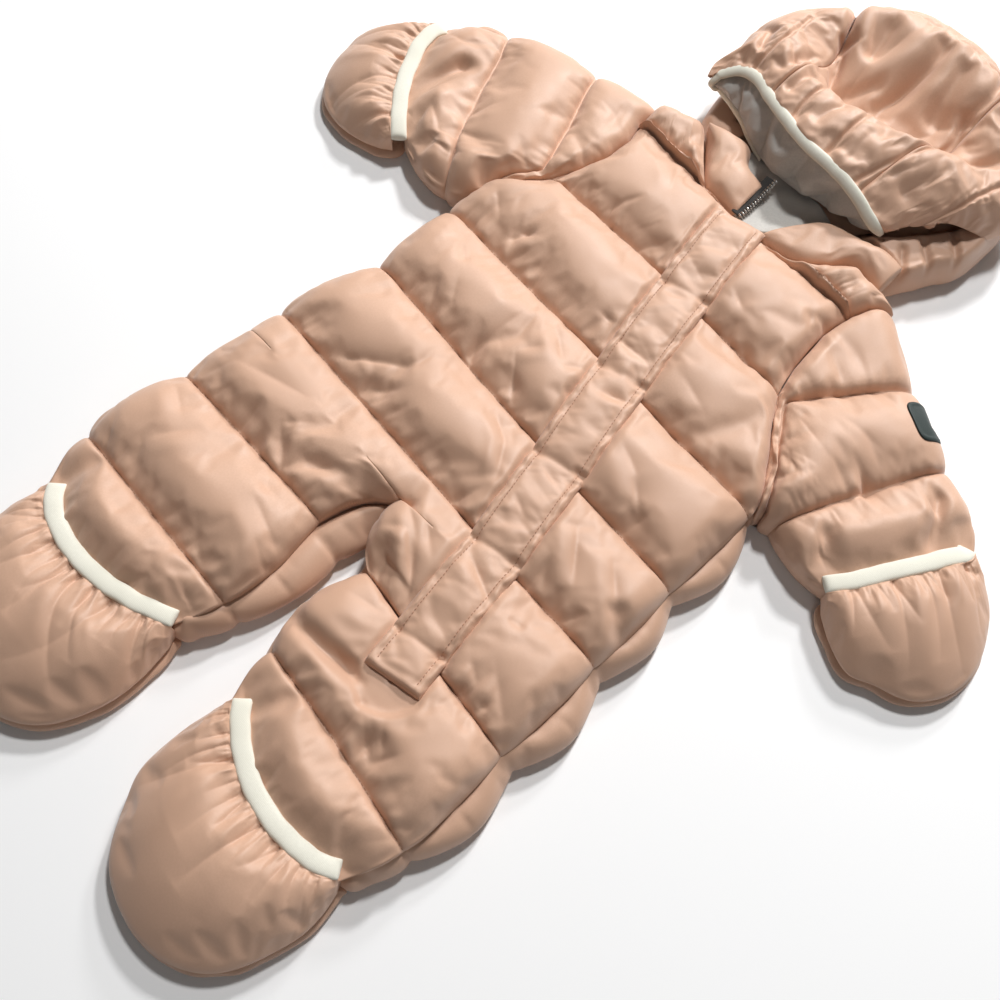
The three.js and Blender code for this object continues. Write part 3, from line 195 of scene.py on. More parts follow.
COVERS = {
    "foot_right": {
        "crown": 27, "mouth": 31, "sole": 9,
        "trim": [(-162, -318), (-148, -329), (-130, -335), (-108, -337), (-84, -335), (-58, -328),
            (-40, -320), (-27, -313)],
        "rim": [(-167, -326), (-172, -350), (-170, -378), (-160, -398), (-143, -418), (-120, -430),
            (-95, -434),
                (-68, -431), (-44, -420), (-28, -402), (-18, -374), (-17, -348), (-22, -322)],
    },
    "foot_left": {
        "crown": 27, "mouth": 31, "sole": 9,
        "trim": [(35, -310), (50, -322), (70, -332), (90, -338), (115, -340), (138, -337),
            (150, -333), (160, -326)],
        "rim": [(31, -317), (27, -342), (29, -376), (40, -396), (56, -417), (74, -428), (100, -433),
            (126, -429),
                (147, -416), (160, -396), (168, -366), (168, -348), (164, -332)],
    },
    "mitten_right": {
        "crown": 22, "mouth": 29, "sole": 8,
        "trim": [(-306, 137), (-306, 122), (-299, 103), (-284, 79), (-267, 58), (-252, 44), (-240, 34)],
        "rim": [(-311, 136), (-322, 128), (-336, 110), (-348, 90), (-344, 68), (-337, 49), (-326, 33),
            (-309, 21),
                (-285, 17), (-262, 21), (-246, 28)],
    },
    "mitten_left": {
        "crown": 22, "mouth": 29, "sole": 8,
        "trim": [(271, 106), (272, 98), (267, 87), (260, 72), (250, 53), (238, 30), (226, 13)],
        "rim": [(277, 104), (291, 98), (306, 84), (318, 63), (323, 44), (321, 26), (313, 11),
            (302, 2), (286, -4),
                (270, -11), (250, -5), (233, 5)],
    },
}

# The under layers' edges towards the body, from the end of a cover's rim back to its start.
BACK_EDGES = {
    "foot_right": [(-30, -316), (-94, -325), (-158, -324)],
    "foot_left": [(160, -328), (98, -325), (40, -314)],
    "mitten_right": [(-240, 44), (-283, 81), (-305, 126)],
    "mitten_left": [(232, 17), (255, 52), (275, 97)],
}

# The back's outline, anticlockwise from the right armhole: x, y, how far it rolls up to the front's seam,
# how much of that roll shows, and the way into the panel.
BACK_OUTLINE = [
    (-152, 50, 3, 0, 1, 0), (-155, 22, 9, 0, 1, 0), (-157, -14, 9, 0, 1, 0), (-152, -50, 9, 0, 1, 0),
    (-166, -90, 9, 0, 1, 0), (-167, -125, 9, 0, 1, 0), (-170, -164, 9, 0, 1, 0), (-170, -204, 9, 0, 1, 0),
    (-176, -244, 9, 0, 1, 0), (-174, -280, 9, 0, 1, 0), (-166, -306, 9, 0, 1, 0),
        (-158, -322, 6, 0, 0.7, 0.7),
    (-94, -324, 4, 0, 0, 1), (-30, -314, 6, 0, -0.7, 0.7), (-20, -302, 9, 1, -1, 0),
        (-9, -280, 13, 1, -1, 0),
    (-2, -240, 19, 1, -1, 0), (0, -206, 22, 1, -1, 0), (1, -180, 18, 1, -1, 0),
        (1.5, -160, 5, 0.6, -0.7, 0.7),
    (4, -160, 4, 0.3, 0.7, 0.7), (8, -180, 6, 0.6, 1, 0), (20, -198, 8, 1, 1, 0), (17, -240, 9, 1, 1, 0),
    (25, -276, 9, 1, 1, 0), (35, -300, 9, 0.6, 1, 0), (40, -312, 6, 0, 0.7, 0.7), (98, -324, 4, 0, 0, 1),
    (158, -326, 6, 0, -0.7, 0.7), (168, -312, 9, 0.7, -1, 0), (177, -288, 11, 1, -1, 0),
    (184, -248, 14, 1, -1, 0), (177, -209, 12, 1, -1, 0), (182, -170, 14, 1, -1, 0),
        (172, -131, 11, 1, -1, 0),
    (174, -92, 12, 1, -1, 0), (166, -62, 9, 1, -1, 0), (170, -25, 12, 1, -1, 0), (161, 10, 7, 1, -1, 0),
    (156, 24, 3, 0.3, -1, 0), (142, 46, 2, 0, -1, 0), (122, 73, 2, 0, -1, 0), (109, 92, 2, 0, -1, 0),
    (102, 115, 2, 0, -1, 0), (97, 150, 2, 0, -1, 0), (100, 174, 2, 0, -1, 0), (106, 190, 2, 0, -1, 0),
    (118, 201, 2, 0, -0.7, -0.7), (0, 196, 2, 0, 0, -1), (-122, 206, 2, 0, 0.7, -0.7),
        (-121, 183, 2, 0, 1, 0),
    (-115, 165, 2, 0, 1, 0), (-114, 140, 2, 0, 1, 0), (-120, 118, 2, 0, 1, 0), (-129, 98, 2, 0, 1, 0),
    (-146, 73, 2, 0, 1, 0),
]
# The heights of the back's stitch lines along its sides.
BACK_QUILT = {
    "right": (183, 98, 22, -50, -125, -206, -279, -340),
    "left": (174, 92, 13, -62, -131, -209, -288, -340),
}

# The largest folds of the panels, as soft troughs in plan: from, to, depth and half width.
FOLDS = [
    ((12, -254), (82, -246), 9, 6), ((4, -154), (-60, -182), 5, 7), ((-252, 118), (-262, 78), 9, 6),
    ((-159, 60), (-128, 88), 8, 7), ((200, 40), (222, 32), 7, 5), ((230, 112), (254, 86), 8, 5),
    ((150, -100), (168, -112), 7, 6), ((-150, -290), (-156, -312), 6, 6), ((60, -288), (50, -308), 6, 6),
]
# Sharper creases of the cloth over the padding: from, to, depth and half width.
CREASES = [
    ((-109, -120), (-67, -89), 4.5, 4), ((-75, -120), (-56, -103), 2.5, 4), ((-52, -124),
        (-43, -108), 2, 3),
    ((-160, -204), (-146, -173), 2.5, 6), ((-146, -173), (-93, -155), 2.5, 6), ((-87, -180),
        (-63, -200), 3.5, 3),
    ((-88, -178), (-76, -164), 1.5, 3), ((-55, -187), (-42, -172), 3, 4), ((-54, -224),
        (-21, -234), 3, 5),
    ((-64, -213), (-51, -212), 1.5, 3), ((-32, -240), (-11, -251), 2, 3), ((-136, -251),
        (-120, -223), 2, 4),
    ((-160, -215), (-139, -224), 2.5, 4), ((-57, -270), (-46, -275), 2, 3), ((-47, -292),
        (-23, -298), 3.5, 4),
    ((1, -125), (11, -116), 2, 3), ((10, -151), (31, -162), 3, 3), ((31, -162), (62, -194), 3, 3),
    ((27, -150), (49, -164), 2, 3), ((11, -173), (25, -162), 2, 3), ((33, -216), (58, -209), 2.5, 5),
    ((94, -81), (120, -109), 3.5, 4), ((126, -80), (146, -97), 3, 4), ((99, -111), (111, -128), 2, 3),
    ((120, -132), (126, -122), 3, 4), ((110, -154), (122, -151), 3, 4), ((116, -188),
        (128, -195), 2.5, 4),
    ((129, -180), (161, -201), 3, 6), ((139, -201), (145, -200), 3, 4), ((106, -262), (124, -274), 4, 4),
    ((114, -255), (123, -263), 2.5, 3), ((123, -272), (131, -257), 3.5, 4), ((55, -245),
        (79, -251), 4, 6),
    ((90, -257), (97, -243), 3, 5), ((131, -288), (140, -301), 1.5, 3), ((26, -163), (49, -181), 3, 3),
    ((158, -214), (169, -222), 2.5, 3), ((-137, 52), (-125, 43), 3, 5), ((-69, 169), (-54, 147), 1.5, 4),
    ((-101, 43), (-90, 48), 3.5, 4), ((-47, 9), (-51, -57), 2.5, 6), ((-25, -29), (-1, -53), 4, 4),
    ((-27, -23), (-18, -11), 2.5, 3), ((-19, 5), (-1, -8), 3, 4), ((3, -10), (12, 1), 3, 3),
    ((-13, 39), (-2, 41), 3, 3), ((-3, -66), (18, -76), 3, 3), ((18, -76), (34, -97), 3, 3),
    ((-104, 32), (-93, 50), 3.5, 4), ((93, -31), (113, -45), 3.5, 5), ((71, -20), (94, -29), 2, 5),
    ((-96, -20), (-84, -36), 2, 5), ((-120, 4), (-104, -6), 2, 5), ((91, 151), (102, 155), 4, 3),
    ((81, 149), (91, 138), 2.5, 3), ((67, 98), (82, 91), 3.5, 3), ((62, 45), (87, 38), 1.5, 4),
    ((37, 120), (50, 114), 2.5, 4), ((65, 13), (101, 17), 3, 4), ((126, 15), (140, 15), 3, 4),
    ((88, 109), (106, 104), 2, 4),
]
SLEEVE_CREASES = [
    ((-253, 77), (-245, 109), 6, 5), ((-236, 49), (-239, 74), 4, 4), ((-237, 73), (-216, 62), 3.5, 4),
    ((-217, 35), (-214, 58), 3.5, 4), ((-258, 114), (-248, 117), 2.5, 4), ((-155, 89), (-132, 94), 2, 4),
    ((-137, 185), (-129, 150), 3.5, 6), ((-148, 137), (-124, 124), 1.5, 4), ((186, 86),
        (202, 79), 4.5, 3),
    ((150, 104), (185, 106), 1.5, 5), ((143, 62), (164, 65), 1.5, 5), ((199, 32), (224, 21), 6, 5),
    ((226, 106), (238, 104), 3.5, 3), ((238, 98), (254, 79), 5, 4), ((240, 57), (246, 57), 3.5, 3),
    ((200, 24), (211, 13), 2.5, 4), ((116, 101), (134, 104), 3, 3), ((127, 120), (142, 120), 3, 3),
    ((191, 85), (201, 78), 3.5, 3), ((130, 86), (153, 78), 2, 4),
]
PLACKET_CREASES = [
    ((61, -143), (89, -154), 3, 4), ((66, -145), (98, -156), 3, 4), ((98, -206), (106, -191), 2.5, 3),
    ((10, 35), (33, 36), 3, 3), ((30, 29), (41, 22), 2, 3), ((33, -3), (51, 6), 3, 3), ((50, -69),
        (75, -73), 3, 4),
    ((51, -96), (67, -102), 2.5, 3), ((61, -63), (75, -66), 2, 3), ((-12, 120), (14, 112), 1.5, 4),
    ((-2, 84), (18, 92), 1.5, 4),
]
HOOD_CREASES = [
    ((-79, 293), (-57, 280), 4.5, 3), ((-90, 317), (-74, 308), 2.5, 3), ((-108, 272), (-94, 264), 3, 3),
    ((-94, 272), (-84, 263), 3, 2), ((-50, 286), (-37, 283), 3, 4), ((-59, 366), (-36, 340), 5, 5),
    ((-34, 342), (-29, 368), 5, 5), ((-30, 288), (-35, 332), 3, 3), ((-21, 287), (-8, 317), 6, 5),
    ((-8, 317), (2, 362), 6, 5), ((-10, 286), (9, 298), 3, 4), ((23, 312), (36, 333), 6, 7),
    ((36, 333), (33, 352), 6, 7), ((53, 311), (55, 330), 4, 5), ((51, 339), (49, 353), 4, 4),
    ((70, 320), (87, 334), 4, 4), ((3, 237), (11, 258), 3.5, 3), ((-32, 244), (-28, 260), 3, 3),
    ((37, 240), (59, 283), 2, 2), ((74, 264), (65, 287), 2.5, 3), ((57, 234), (62, 235), 3, 3),
    ((81, 236), (98, 260), 2, 2), ((98, 260), (111, 304), 2, 2),
]

# The hood lies on its back. Each row is a section of its upper side, from its mouth's right end to its left:
# the brim, the ridge behind it, the dent, the crown, the side and the foot.
HOOD = [
    ((-115, 246, 40), (-117, 252, 43), (-119, 257, 41), (-120, 263, 37), (-121, 268, 27),
        (-114, 268, 17.5)),
    ((-100, 262, 50), (-104, 276, 59), (-108, 287, 59), (-113, 298, 52), (-121, 306, 31),
        (-113, 303, 17.5)),
    ((-82, 263, 56), (-84, 288, 68), (-90, 310, 66), (-100, 334, 58), (-112, 346, 31), (-103, 341, 17.5)),
    ((-62, 254, 60), (-60, 284, 70), (-58, 320, 50), (-72, 360, 64), (-85, 385, 33), (-77, 377, 17.5)),
    ((-38, 245, 63), (-36, 278, 71), (-34, 305, 44), (-42, 378, 68), (-53, 409, 35), (-49, 399, 17.5)),
    ((-10, 238, 64), (-8, 277, 73), (-6, 310, 42), (-8, 384, 70), (-10, 414, 37), (-9, 403, 17.5)),
    ((18, 237, 63), (20, 282, 73), (22, 316, 40), (22, 384, 70), (26, 412, 37), (24, 402, 17.5)),
    ((40, 236, 58), (46, 290, 71), (54, 324, 44), (56, 374, 67), (66, 401, 35), (61, 391, 17.5)),
    ((56, 235, 50), (68, 290, 67), (80, 322, 58), (92, 350, 60), (106, 373, 33), (98, 365, 17.5)),
    ((66, 237, 43), (86, 278, 58), (100, 297, 60), (114, 318, 53), (127, 331, 31), (117, 326, 17.5)),
    ((70, 241, 36), (82, 258, 43), (94, 272, 45), (107, 285, 39), (120, 298, 27), (110, 292, 17.5)),
]
HOOD_PANELS = {"hood_right": (0, 3), "hood_centre": (3, 7), "hood_left": (7, 10)}
# The hood's stitch lines in plan.
HOOD_SEAMS = [
    ((-80, 390), (-52, 391), (0, 391), (50, 390)), ((-92, 330), (-88, 300), (-90, 268)),
    ((-34, 290), (-36, 262), (-34, 246)), ((4, 285), (4, 238)), ((55, 305), (40, 262), (32, 236)),
    ((106, 325), (96, 285), (82, 256)),
]
# The hood's largest folds: from, to, depth and half width.
HOOD_FOLDS = [
    ((-84, 380), (-62, 340), 7, 5), ((-62, 340), (-40, 300), 7, 5), ((48, 395), (48, 350), 5, 4),
    ((48, 350), (55, 318), 6, 5), ((-2, 376), (-4, 318), 7, 6), ((-44, 366), (-40, 346), 6, 7),
    ((20, 372), (28, 340), 5, 6), ((-70, 276), (-66, 300), 5, 5), ((-52, 264), (-50, 284), 5, 4),
    ((-20, 256), (-14, 276), 4, 5), ((18, 250), (22, 280), 4, 5), ((62, 262), (70, 290), 4, 5),
    ((92, 340), (76, 318), 6, 6), ((-104, 300), (-98, 284), 5, 5), ((-20, 330), (-34, 306), 5, 5),
]
HOOD_UNDER = [
    (-100, 236), (-86, 224), (-80, 208), (0, 199), (80, 204), (92, 216), (104, 238), (112, 256),
        (121, 274),
    (122, 300), (118, 330), (98, 367), (62, 393), (30, 404), (0, 406), (-48, 401), (-78, 378),
        (-104, 338),
    (-113, 300), (-108, 262),
]
# The lowest layer's seams where it shows, and the line where the hood covers it.
UNDER_SEAMS = [((86, 246), (104, 224)), ((100, 286), (124, 262)), ((92, 262), (114, 244))]
UNDER_COVERED = ((52, 234), (72, 256), (86, 276), (100, 302))

# The lower lip of the hood's mouth, right to left. The edge binding shows along its first four points.
FACING_LIP = [
    (-108, 252, 34), (-79, 247, 30), (-61, 240, 27), (-41, 232, 25), (-10, 230, 24), (10, 234, 24),
        (27, 236, 26),
    (42, 243, 28),
]
# Folds of the fleece: place along the mouth, lean, depth and half width.
FLEECE_FOLDS = [
    (0.13, 0.05, 7, 0.030), (0.34, 0.10, 11, 0.040), (0.52, 0.10, 9, 0.035), (0.68, 0.08, 10, 0.040),
    (0.84, 0.05, 6, 0.035),
]

COLLARS = {
    "collar_right": {
        "top": [(-86, 222), (-66, 228), (-50, 230), (-38, 216), (-19.5, 212)],
        "base": [(-84, 217.5), (-66, 199), (-48, 180), (-34, 178), (-15.5, 177)],
        "columns": 26, "crown": 11,
    },
    "collar_left": {
        "top": [(97, 234), (80, 234), (60, 229), (38, 223), (28, 211)],
        "base": [(98, 205), (74, 207), (59, 192), (44, 178.5), (10, 176)],
        "columns": 34, "crown": 12,
    },
}
NECK_FLEECE = {
    "front": [(-22, 178), (-4, 177), (8, 180), (24, 203)],
    "back": [(-52, 236), (-24, 240), (8, 238), (34, 232)],
}
ZIP_LINE = [(-16, 221), (-12.5, 195), (-11.5, 177)]
PATCH = {"centre": (189, 147), "along": (0.87, -0.49), "half": (16, 11), "roundness": 4}


# Small sums, on arrays of points.
def clamp01(v):
    return np.clip(v, 0.0, 1.0)


def smooth(v):
    v = clamp01(v)
    return v * v * (3 - 2 * v)


def puff(c):
    """A channel's section: 0 at its two stitch lines and 1 along its crown."""
    return (1 - np.abs(2 * clamp01(c) - 1) ** 2.4) ** 0.6


def rise(d, reach):
    """How a panel rounds over towards an edge d away."""
    return np.sqrt(np.clip(1 - (1 - np.minimum(d / reach, 1)) ** 2, 0, 1))


def along(points, t):
    """Points at shares t of a polyline's length."""
    points = np.asarray(points, float)
    steps = np.linalg.norm(np.diff(points, axis=0), axis=1)
    reach = np.concatenate([[0], np.cumsum(steps)]) / steps.sum()
    return np.stack([np.interp(t, reach, points[:, i]) for i in range(points.shape[1])], axis=-1)


def through(points, place):
    """A smooth curve through points, at places counted in list steps. Works on any trailing shape."""
    points = np.asarray(points, float)
    place = np.atleast_1d(np.asarray(place, float))
    i = np.clip(np.floor(place).astype(int), 0, len(points) - 2)
    f = (place - i).reshape((-1,) + (1,) * (points.ndim - 1))
    at = lambda k: points[np.clip(k, 0, len(points) - 1)]
    p, q, r, s = at(i - 1), at(i), at(i + 1), at(i + 2)
    return q + 0.5 * f * (r - p + f * (2 * p - 5 * q + 4 * r - s + f * (3 * (q - r) + s - p)))


def curve(points, count):
    """A smooth curve through points, as evenly spaced points."""
    dense = through(points, np.linspace(0, len(points) - 1, 16 * len(points)))
    return along(dense, np.linspace(0, 1, count))


def line_distance(xy, line):
    """Distance of each point from a polyline."""
    xy = np.asarray(xy, float)
    best = np.full(xy.shape[:-1], 1e9)
    for a, b in zip(np.asarray(line[:-1], float), np.asarray(line[1:], float)):
        run = b - a
        t = clamp01(((xy - a) @ run) / (run @ run))
        best = np.minimum(best, np.linalg.norm(xy - a - t[..., None] * run, axis=-1))
    return best


def ripple(xy, scale, seed):
    """Smooth uneven waves between -1 and 1, the same each run."""
    random = np.random.default_rng(seed)
    total = np.zeros(xy.shape[:-1])
    for _ in range(6):
        angle, phase = random.uniform(0, math.tau, 2)
        wave = random.uniform(0.7, 1.4) * math.tau / scale
        total += np.sin(xy[..., 0] * wave * math.cos(angle) + xy[..., 1] * wave * math.sin(angle) + phase)
    return total / 3.5


def placket_bed(y):
    """The height of the fronts under the placket: pressed flat, with a dip at each stitch line."""
    levels = [p[1] for p in CENTRE_FRONT[:-1]] + [BELOW_PLACKET]
    bed = np.full(np.shape(y), PLACKET_BED)
    for high, low in zip(levels[:-1], levels[1:]):
        bed = bed + PLACKET_LOFT * puff((high - y) / (high - low)) * ((y <= high) & (y > low))
    return bed


def folds(xy, lines):
    """How far the given folds dip, each a soft trough that fades at its ends."""
    dip = np.zeros(xy.shape[:-1])
    for start, end, depth, wide in lines:
        dip += depth * np.exp(-((line_distance(xy, [start, end]) / wide) ** 2))
    return dip


def creased(obj, table, keep=None):
    """Presses sharp creases into a finished cloth: steep on their right and gentle on their left."""
    co = positions(obj) / MM
    sink = np.zeros(len(co))
    for start, end, depth, wide in table:
        start, end = np.array(start, float), np.array(end, float)
        run = end - start
        t = clamp01((co[:, :2] - start) @ run / (run @ run))
        rest = co[:, :2] - start - t[:, None] * run
        aside = (rest[:, 0] * run[1] - rest[:, 1] * run[0]) / np.linalg.norm(run)
        away = np.linalg.norm(rest, axis=1)
        ends = np.exp(-(((away ** 2 - aside ** 2).clip(0)) ** 0.5 / wide))
        bow = 0.35 + 0.65 * np.sin(np.pi * t)
        near = np.where(aside > 0, wide * 0.8, wide * 2.0)
        ridge = np.exp(-(((aside - 2.6 * wide) / (1.3 * wide)) ** 2))
        trough = np.exp(-np.abs(aside) / near) - 0.35 * ridge
        sink += depth * bow * ends * trough
    if keep is not None:
        sink *= keep(co)
    co[:, 2] -= sink
    set_positions(obj, co * MM)


def clear_of_trims(co):
    """1 where a cloth lies free, and 0 where it goes under the placket or an elastic edge."""
    free = smooth((line_distance(co[:, :2], CENTRE_FRONT) - PLACKET_HALF + 3) / 5)
    for sizes in COVERS.values():
        free = free * smooth((line_distance(co[:, :2], sizes["trim"]) - ELASTIC_WIDE / 2 + 1) / 6)
    return free * clamp01((co[:, 2] - 22) / 8)


def fading_at_edge(obj, reach):
    """0 on a cloth's open edge, rising to 1 at a distance from it."""
    co = positions(obj) / MM
    edge = np.append(open_loop(obj), open_loop(obj)[:1])
    return smooth(line_distance(co[:, :2], co[edge, :2]) / reach)


def along_line(xy, line):
    """How far along a line each point lies, and its signed distance from it."""
    line = np.asarray(line, float)
    best = np.full(len(xy), np.inf)
    place, side = np.zeros(len(xy)), np.zeros(len(xy))
    done = 0.0
    for a, b in zip(line[:-1], line[1:]):
        run = b - a
        length = np.linalg.norm(run)
        t = clamp01((xy - a) @ run / length ** 2)
        rest = xy - a - t[:, None] * run
        away = np.linalg.norm(rest, axis=1)
        closer = away < best
        cross = run[0] * rest[:, 1] - run[1] * rest[:, 0]
        best = np.where(closer, away, best)
        place = np.where(closer, done + t * length, place)
        side = np.where(closer, np.where(cross < 0, -away, away), side)
        done += length
    return place, side


# Wrinkles beside stitches: how far they reach, how often each reach comes, and the furthest looked at.
PUCKER_REACHES = (7, 11, 17, 26)
PUCKER_SHARES = (0.3, 0.3, 0.25, 0.15)
PUCKER_FURTHEST = 30
UPHILL_SHARE = 1.5
DOWNHILL_SHARE = 0.55


def puckered(obj, lines, seed, spacing=9.0, strength=1.0, keep=None, uphill=None):
    """Wrinkles that run out from rows of stitches, unevenly. uphill is the way of their stronger side."""
    random = np.random.default_rng(seed)
    co = positions(obj) / MM
    sink = np.zeros(len(co))
    for line in lines:
        line = np.array(line, float)
        place, side = along_line(co[:, :2], line)
        length = np.linalg.norm(np.diff(line, axis=0), axis=1).sum()
        for way in (-1, 1):
            far = side * way
            share = 1.0
            if uphill is not None:
                run = line[-1] - line[0]
                on_uphill = way * (run[0] * uphill[1] - run[1] * uphill[0]) > 0
                share = UPHILL_SHARE if on_uphill else DOWNHILL_SHARE
            close = (far > 0) & (far < PUCKER_FURTHEST)
            at, far = place[close], far[close]
            dip = np.zeros(len(at))
            mark = random.uniform(1, spacing)
            while mark < length:
                lean = random.uniform(-0.7, 0.7)
                reach = random.choice(PUCKER_REACHES, p=PUCKER_SHARES)
                depth = random.uniform(0.5, 1.3) * (0.7 + reach / 16) * strength
                wide = random.uniform(1.3, 2.3) + 0.08 * reach
                off = at - mark - lean * far
                shape = np.minimum(1, far / 2.5) * clamp01(1 - far / reach) ** 0.8
                ridge = np.exp(-(((off - 2.8 * wide) / wide) ** 2))
                dip += depth * shape * (np.exp(-np.abs(off) / wide) - 0.45 * ridge)
                mark += spacing * random.uniform(0.45, 1.6)
            sink[close] += dip * share
    if keep is not None:
        sink *= keep(co)
    co[:, 2] -= sink
    set_positions(obj, co * MM)


def pressed(xy, z):
    """Heights pressed down under the placket and under the elastic edges."""
    near = 1 - smooth((line_distance(xy, CENTRE_FRONT) - PLACKET_HALF + 2) / 6)
    z = z + (np.minimum(z, placket_bed(xy[..., 1])) - z) * near
    for cover in COVERS.values():
        trim = cover["trim"]
        near = 1 - smooth((line_distance(xy, trim) - ELASTIC_WIDE / 2) / 36)
        ends = np.minimum(np.linalg.norm(xy - trim[0], axis=-1), np.linalg.norm(xy - trim[-1], axis=-1))
        level = cover["mouth"] - 5 - 6 * clamp01(1 - ends / 30)
        z = z + (np.minimum(z, level) - z) * near
    return z


# Meshes.
def new_object(name, verts, faces):
    mesh = bpy.data.meshes.new(name)
    mesh.from_pydata([tuple(v) for v in verts], [], [tuple(int(i) for i in f) for f in faces])
    mesh.update()
    obj = bpy.data.objects.new(name, mesh)
    bpy.context.scene.collection.objects.link(obj)
    return obj


def positions(obj):
    co = np.empty(len(obj.data.vertices) * 3, np.float32)
    obj.data.vertices.foreach_get("co", co)
    return co.reshape(-1, 3).astype(float)


def set_positions(obj, co):
    obj.data.vertices.foreach_set("co", np.asarray(co, np.float32).ravel())
    obj.data.update()


def grid_faces(rows, columns, first=0):
    r, c = np.meshgrid(np.arange(rows - 1), np.arange(columns - 1), indexing="ij")
    a = (first + r * columns + c).ravel()
    return np.stack([a, a + columns, a + columns + 1, a + 1], axis=1)


def block_grid(rows, columns, spacing):
    """A block's plan grid: points, place in the channel, and which lines are sewn."""
    table = np.array([r[0] for r in rows], float)
    middle = table.mean(axis=1)
    steps = np.maximum(1, np.round(np.linalg.norm(np.diff(middle, axis=0), axis=1) / spacing)).astype(int)
    place = np.concatenate([np.arange(n) / n + i for i, n in enumerate(steps)] + [[len(rows) - 1]])
    count = table.shape[1]
    share = np.concatenate([np.arange(n) / n + i for i, n in enumerate(columns)] + [[count - 1]])
    across = np.stack([
        np.stack([np.interp(share, range(count), row[:, k]) for k in (0, 1)], -1) for row in table
    ])
    xy = through(across, place)
    reach = np.concatenate([[0], np.cumsum(np.linalg.norm(np.diff(middle, axis=0), axis=1))])
    c = np.zeros(len(place))
    sewn = [i for i, r in enumerate(rows) if r[1]]
    marks = sorted(set([0] + sewn + [i for i, r in enumerate(rows) if r[2] is not None] + [len(rows) - 1]))
    for a, b in zip(marks[:-1], marks[1:]):
        given = rows[a][2]
        ends_a_channel = given is not None and rows[a][1] and a > 0 and given >= 1
        start = 0.0 if given is None or ends_a_channel else given
        end = rows[b][2] if rows[b][2] is not None else 1.0
        inside = (place >= a) & (place <= b if b == len(rows) - 1 else place < b)
        at = np.interp(place[inside], range(len(rows)), reach)
        c[inside] = start + (end - start) * (at - reach[a]) / (reach[b] - reach[a])
    on_row = np.isclose(place, np.round(place))
    is_sewn = np.array([on and rows[int(round(p))][1] for p, on in zip(place, on_row)])
    return xy, c, is_sewn


def panel_surface(name, blocks, columns, stitch_level, crown, seed):
    """A panel's quilted upper skin: points, faces, which points are held, and the stitch beside each."""
    verts, faces, pins, beside = [], [], [], []
    count = 0
    for key, rows in blocks.items():
        xy, c, is_sewn = block_grid(rows, columns[key], GRID)
        full = puff(c)[:, None]
        up, level, bulge, weight = np.ones(xy.shape[:2]), 0.0, 0.0, 0.0
        for (edge, reach, stand), line in OUTLINES[name]:
            d = line_distance(xy, line)
            up = np.minimum(up, rise(d, reach))
            w = np.exp(-d / 6) + 1e-9
            level, weight = level + w * edge, weight + w
            bulge = bulge + np.exp(-d / 6) / (w + 1e-9) * stand * clamp01(1 - d / 30) * (d < 40)
        level = level / weight
        uneven = 1 + 0.10 * ripple(xy, 90, seed)
        z = level + (stitch_level - level) * up + crown * full * up * uneven
        z = z - folds(xy, FOLDS) * up * np.minimum(1, 2 * full)
        z = pressed(xy, z)
        across = xy[:, -1] - xy[:, 0]
        across = across / np.linalg.norm(across, axis=1)[:, None]
        centre = xy.mean(axis=1, keepdims=True)
        side = np.sign(((xy - centre) * across[:, None]).sum(-1))
        moved = xy + across[:, None] * (side * bulge * full)[..., None]
        n, m = xy.shape[:2]
        faces.append(grid_faces(n, m, count))
        verts.append(np.concatenate([moved, z[..., None]], axis=-1).reshape(-1, 3))
        pins.append((is_sewn[:, None] | held_down(xy)).ravel())
        beside.append(stitch_neighbours(is_sewn, m, count))
        count += n * m
    return np.concatenate(verts), np.concatenate(faces), np.concatenate(pins), np.concatenate(beside)


def held_down(xy):
    """Which points lie under the placket or an elastic edge."""
    held = line_distance(xy, CENTRE_FRONT) < PLACKET_HALF - 2
    for cover in COVERS.values():
        held |= line_distance(xy, cover["trim"]) < ELASTIC_WIDE / 2 + 2
    return held


def stitch_neighbours(is_sewn, columns, first):
    """For each vertex of a grid, the sewn vertex nearest along its column and how many rows away it is."""
    rows = np.arange(len(is_sewn))
    sewn = np.flatnonzero(is_sewn)
    gaps = np.abs(rows[:, None] - sewn[None])
    nearest = sewn[gaps.argmin(axis=1)]
    away = gaps.min(axis=1)
    to = first + nearest[:, None] * columns + np.arange(columns)
    return np.stack([to, np.broadcast_to(away[:, None], to.shape)], axis=-1).reshape(-1, 2)


# How rows of the grid beside a stitch are drawn to it: rows away, share of the distance kept, lift.
DRAWN = ((1, 0.40, 1.25), (2, 0.66, 1.12), (3, 0.86, 1.04))


def drawn_to_stitches(co, beside):
    """Channels drawn close to their stitches, so that two puffs nearly meet over the thread."""
    co = co.copy()
    for away, share, lift in DRAWN:
        own = np.flatnonzero(beside[:, 1] == away)
        step = co[own] - co[beside[own, 0]]
        co[own] = co[beside[own, 0]] + step * (share, share, lift)
    return co


def weld(verts, faces, pins, beside):
    """One mesh object's data with the blocks' shared vertices joined."""
    key = np.round(verts / 0.02).astype(np.int64)
    _, first, inverse = np.unique(key, axis=0, return_index=True, return_inverse=True)
    inverse = inverse.ravel()
    joined = np.zeros(len(first), bool)
    np.logical_or.at(joined, inverse, pins)
    kept = beside[first]
    return verts[first], inverse[faces], joined, np.stack([inverse[kept[:, 0]], kept[:, 1]], axis=1)


def boundary(faces, count):
    """Which vertices lie on an open edge."""
    edges = np.sort(np.concatenate([faces[:, [i, (i + 1) % 4]] for i in range(4)]), axis=1)
    unique, times = np.unique(edges, axis=0, return_counts=True)
    mark = np.zeros(count, bool)
    mark[unique[times == 1].ravel()] = True
    return mark


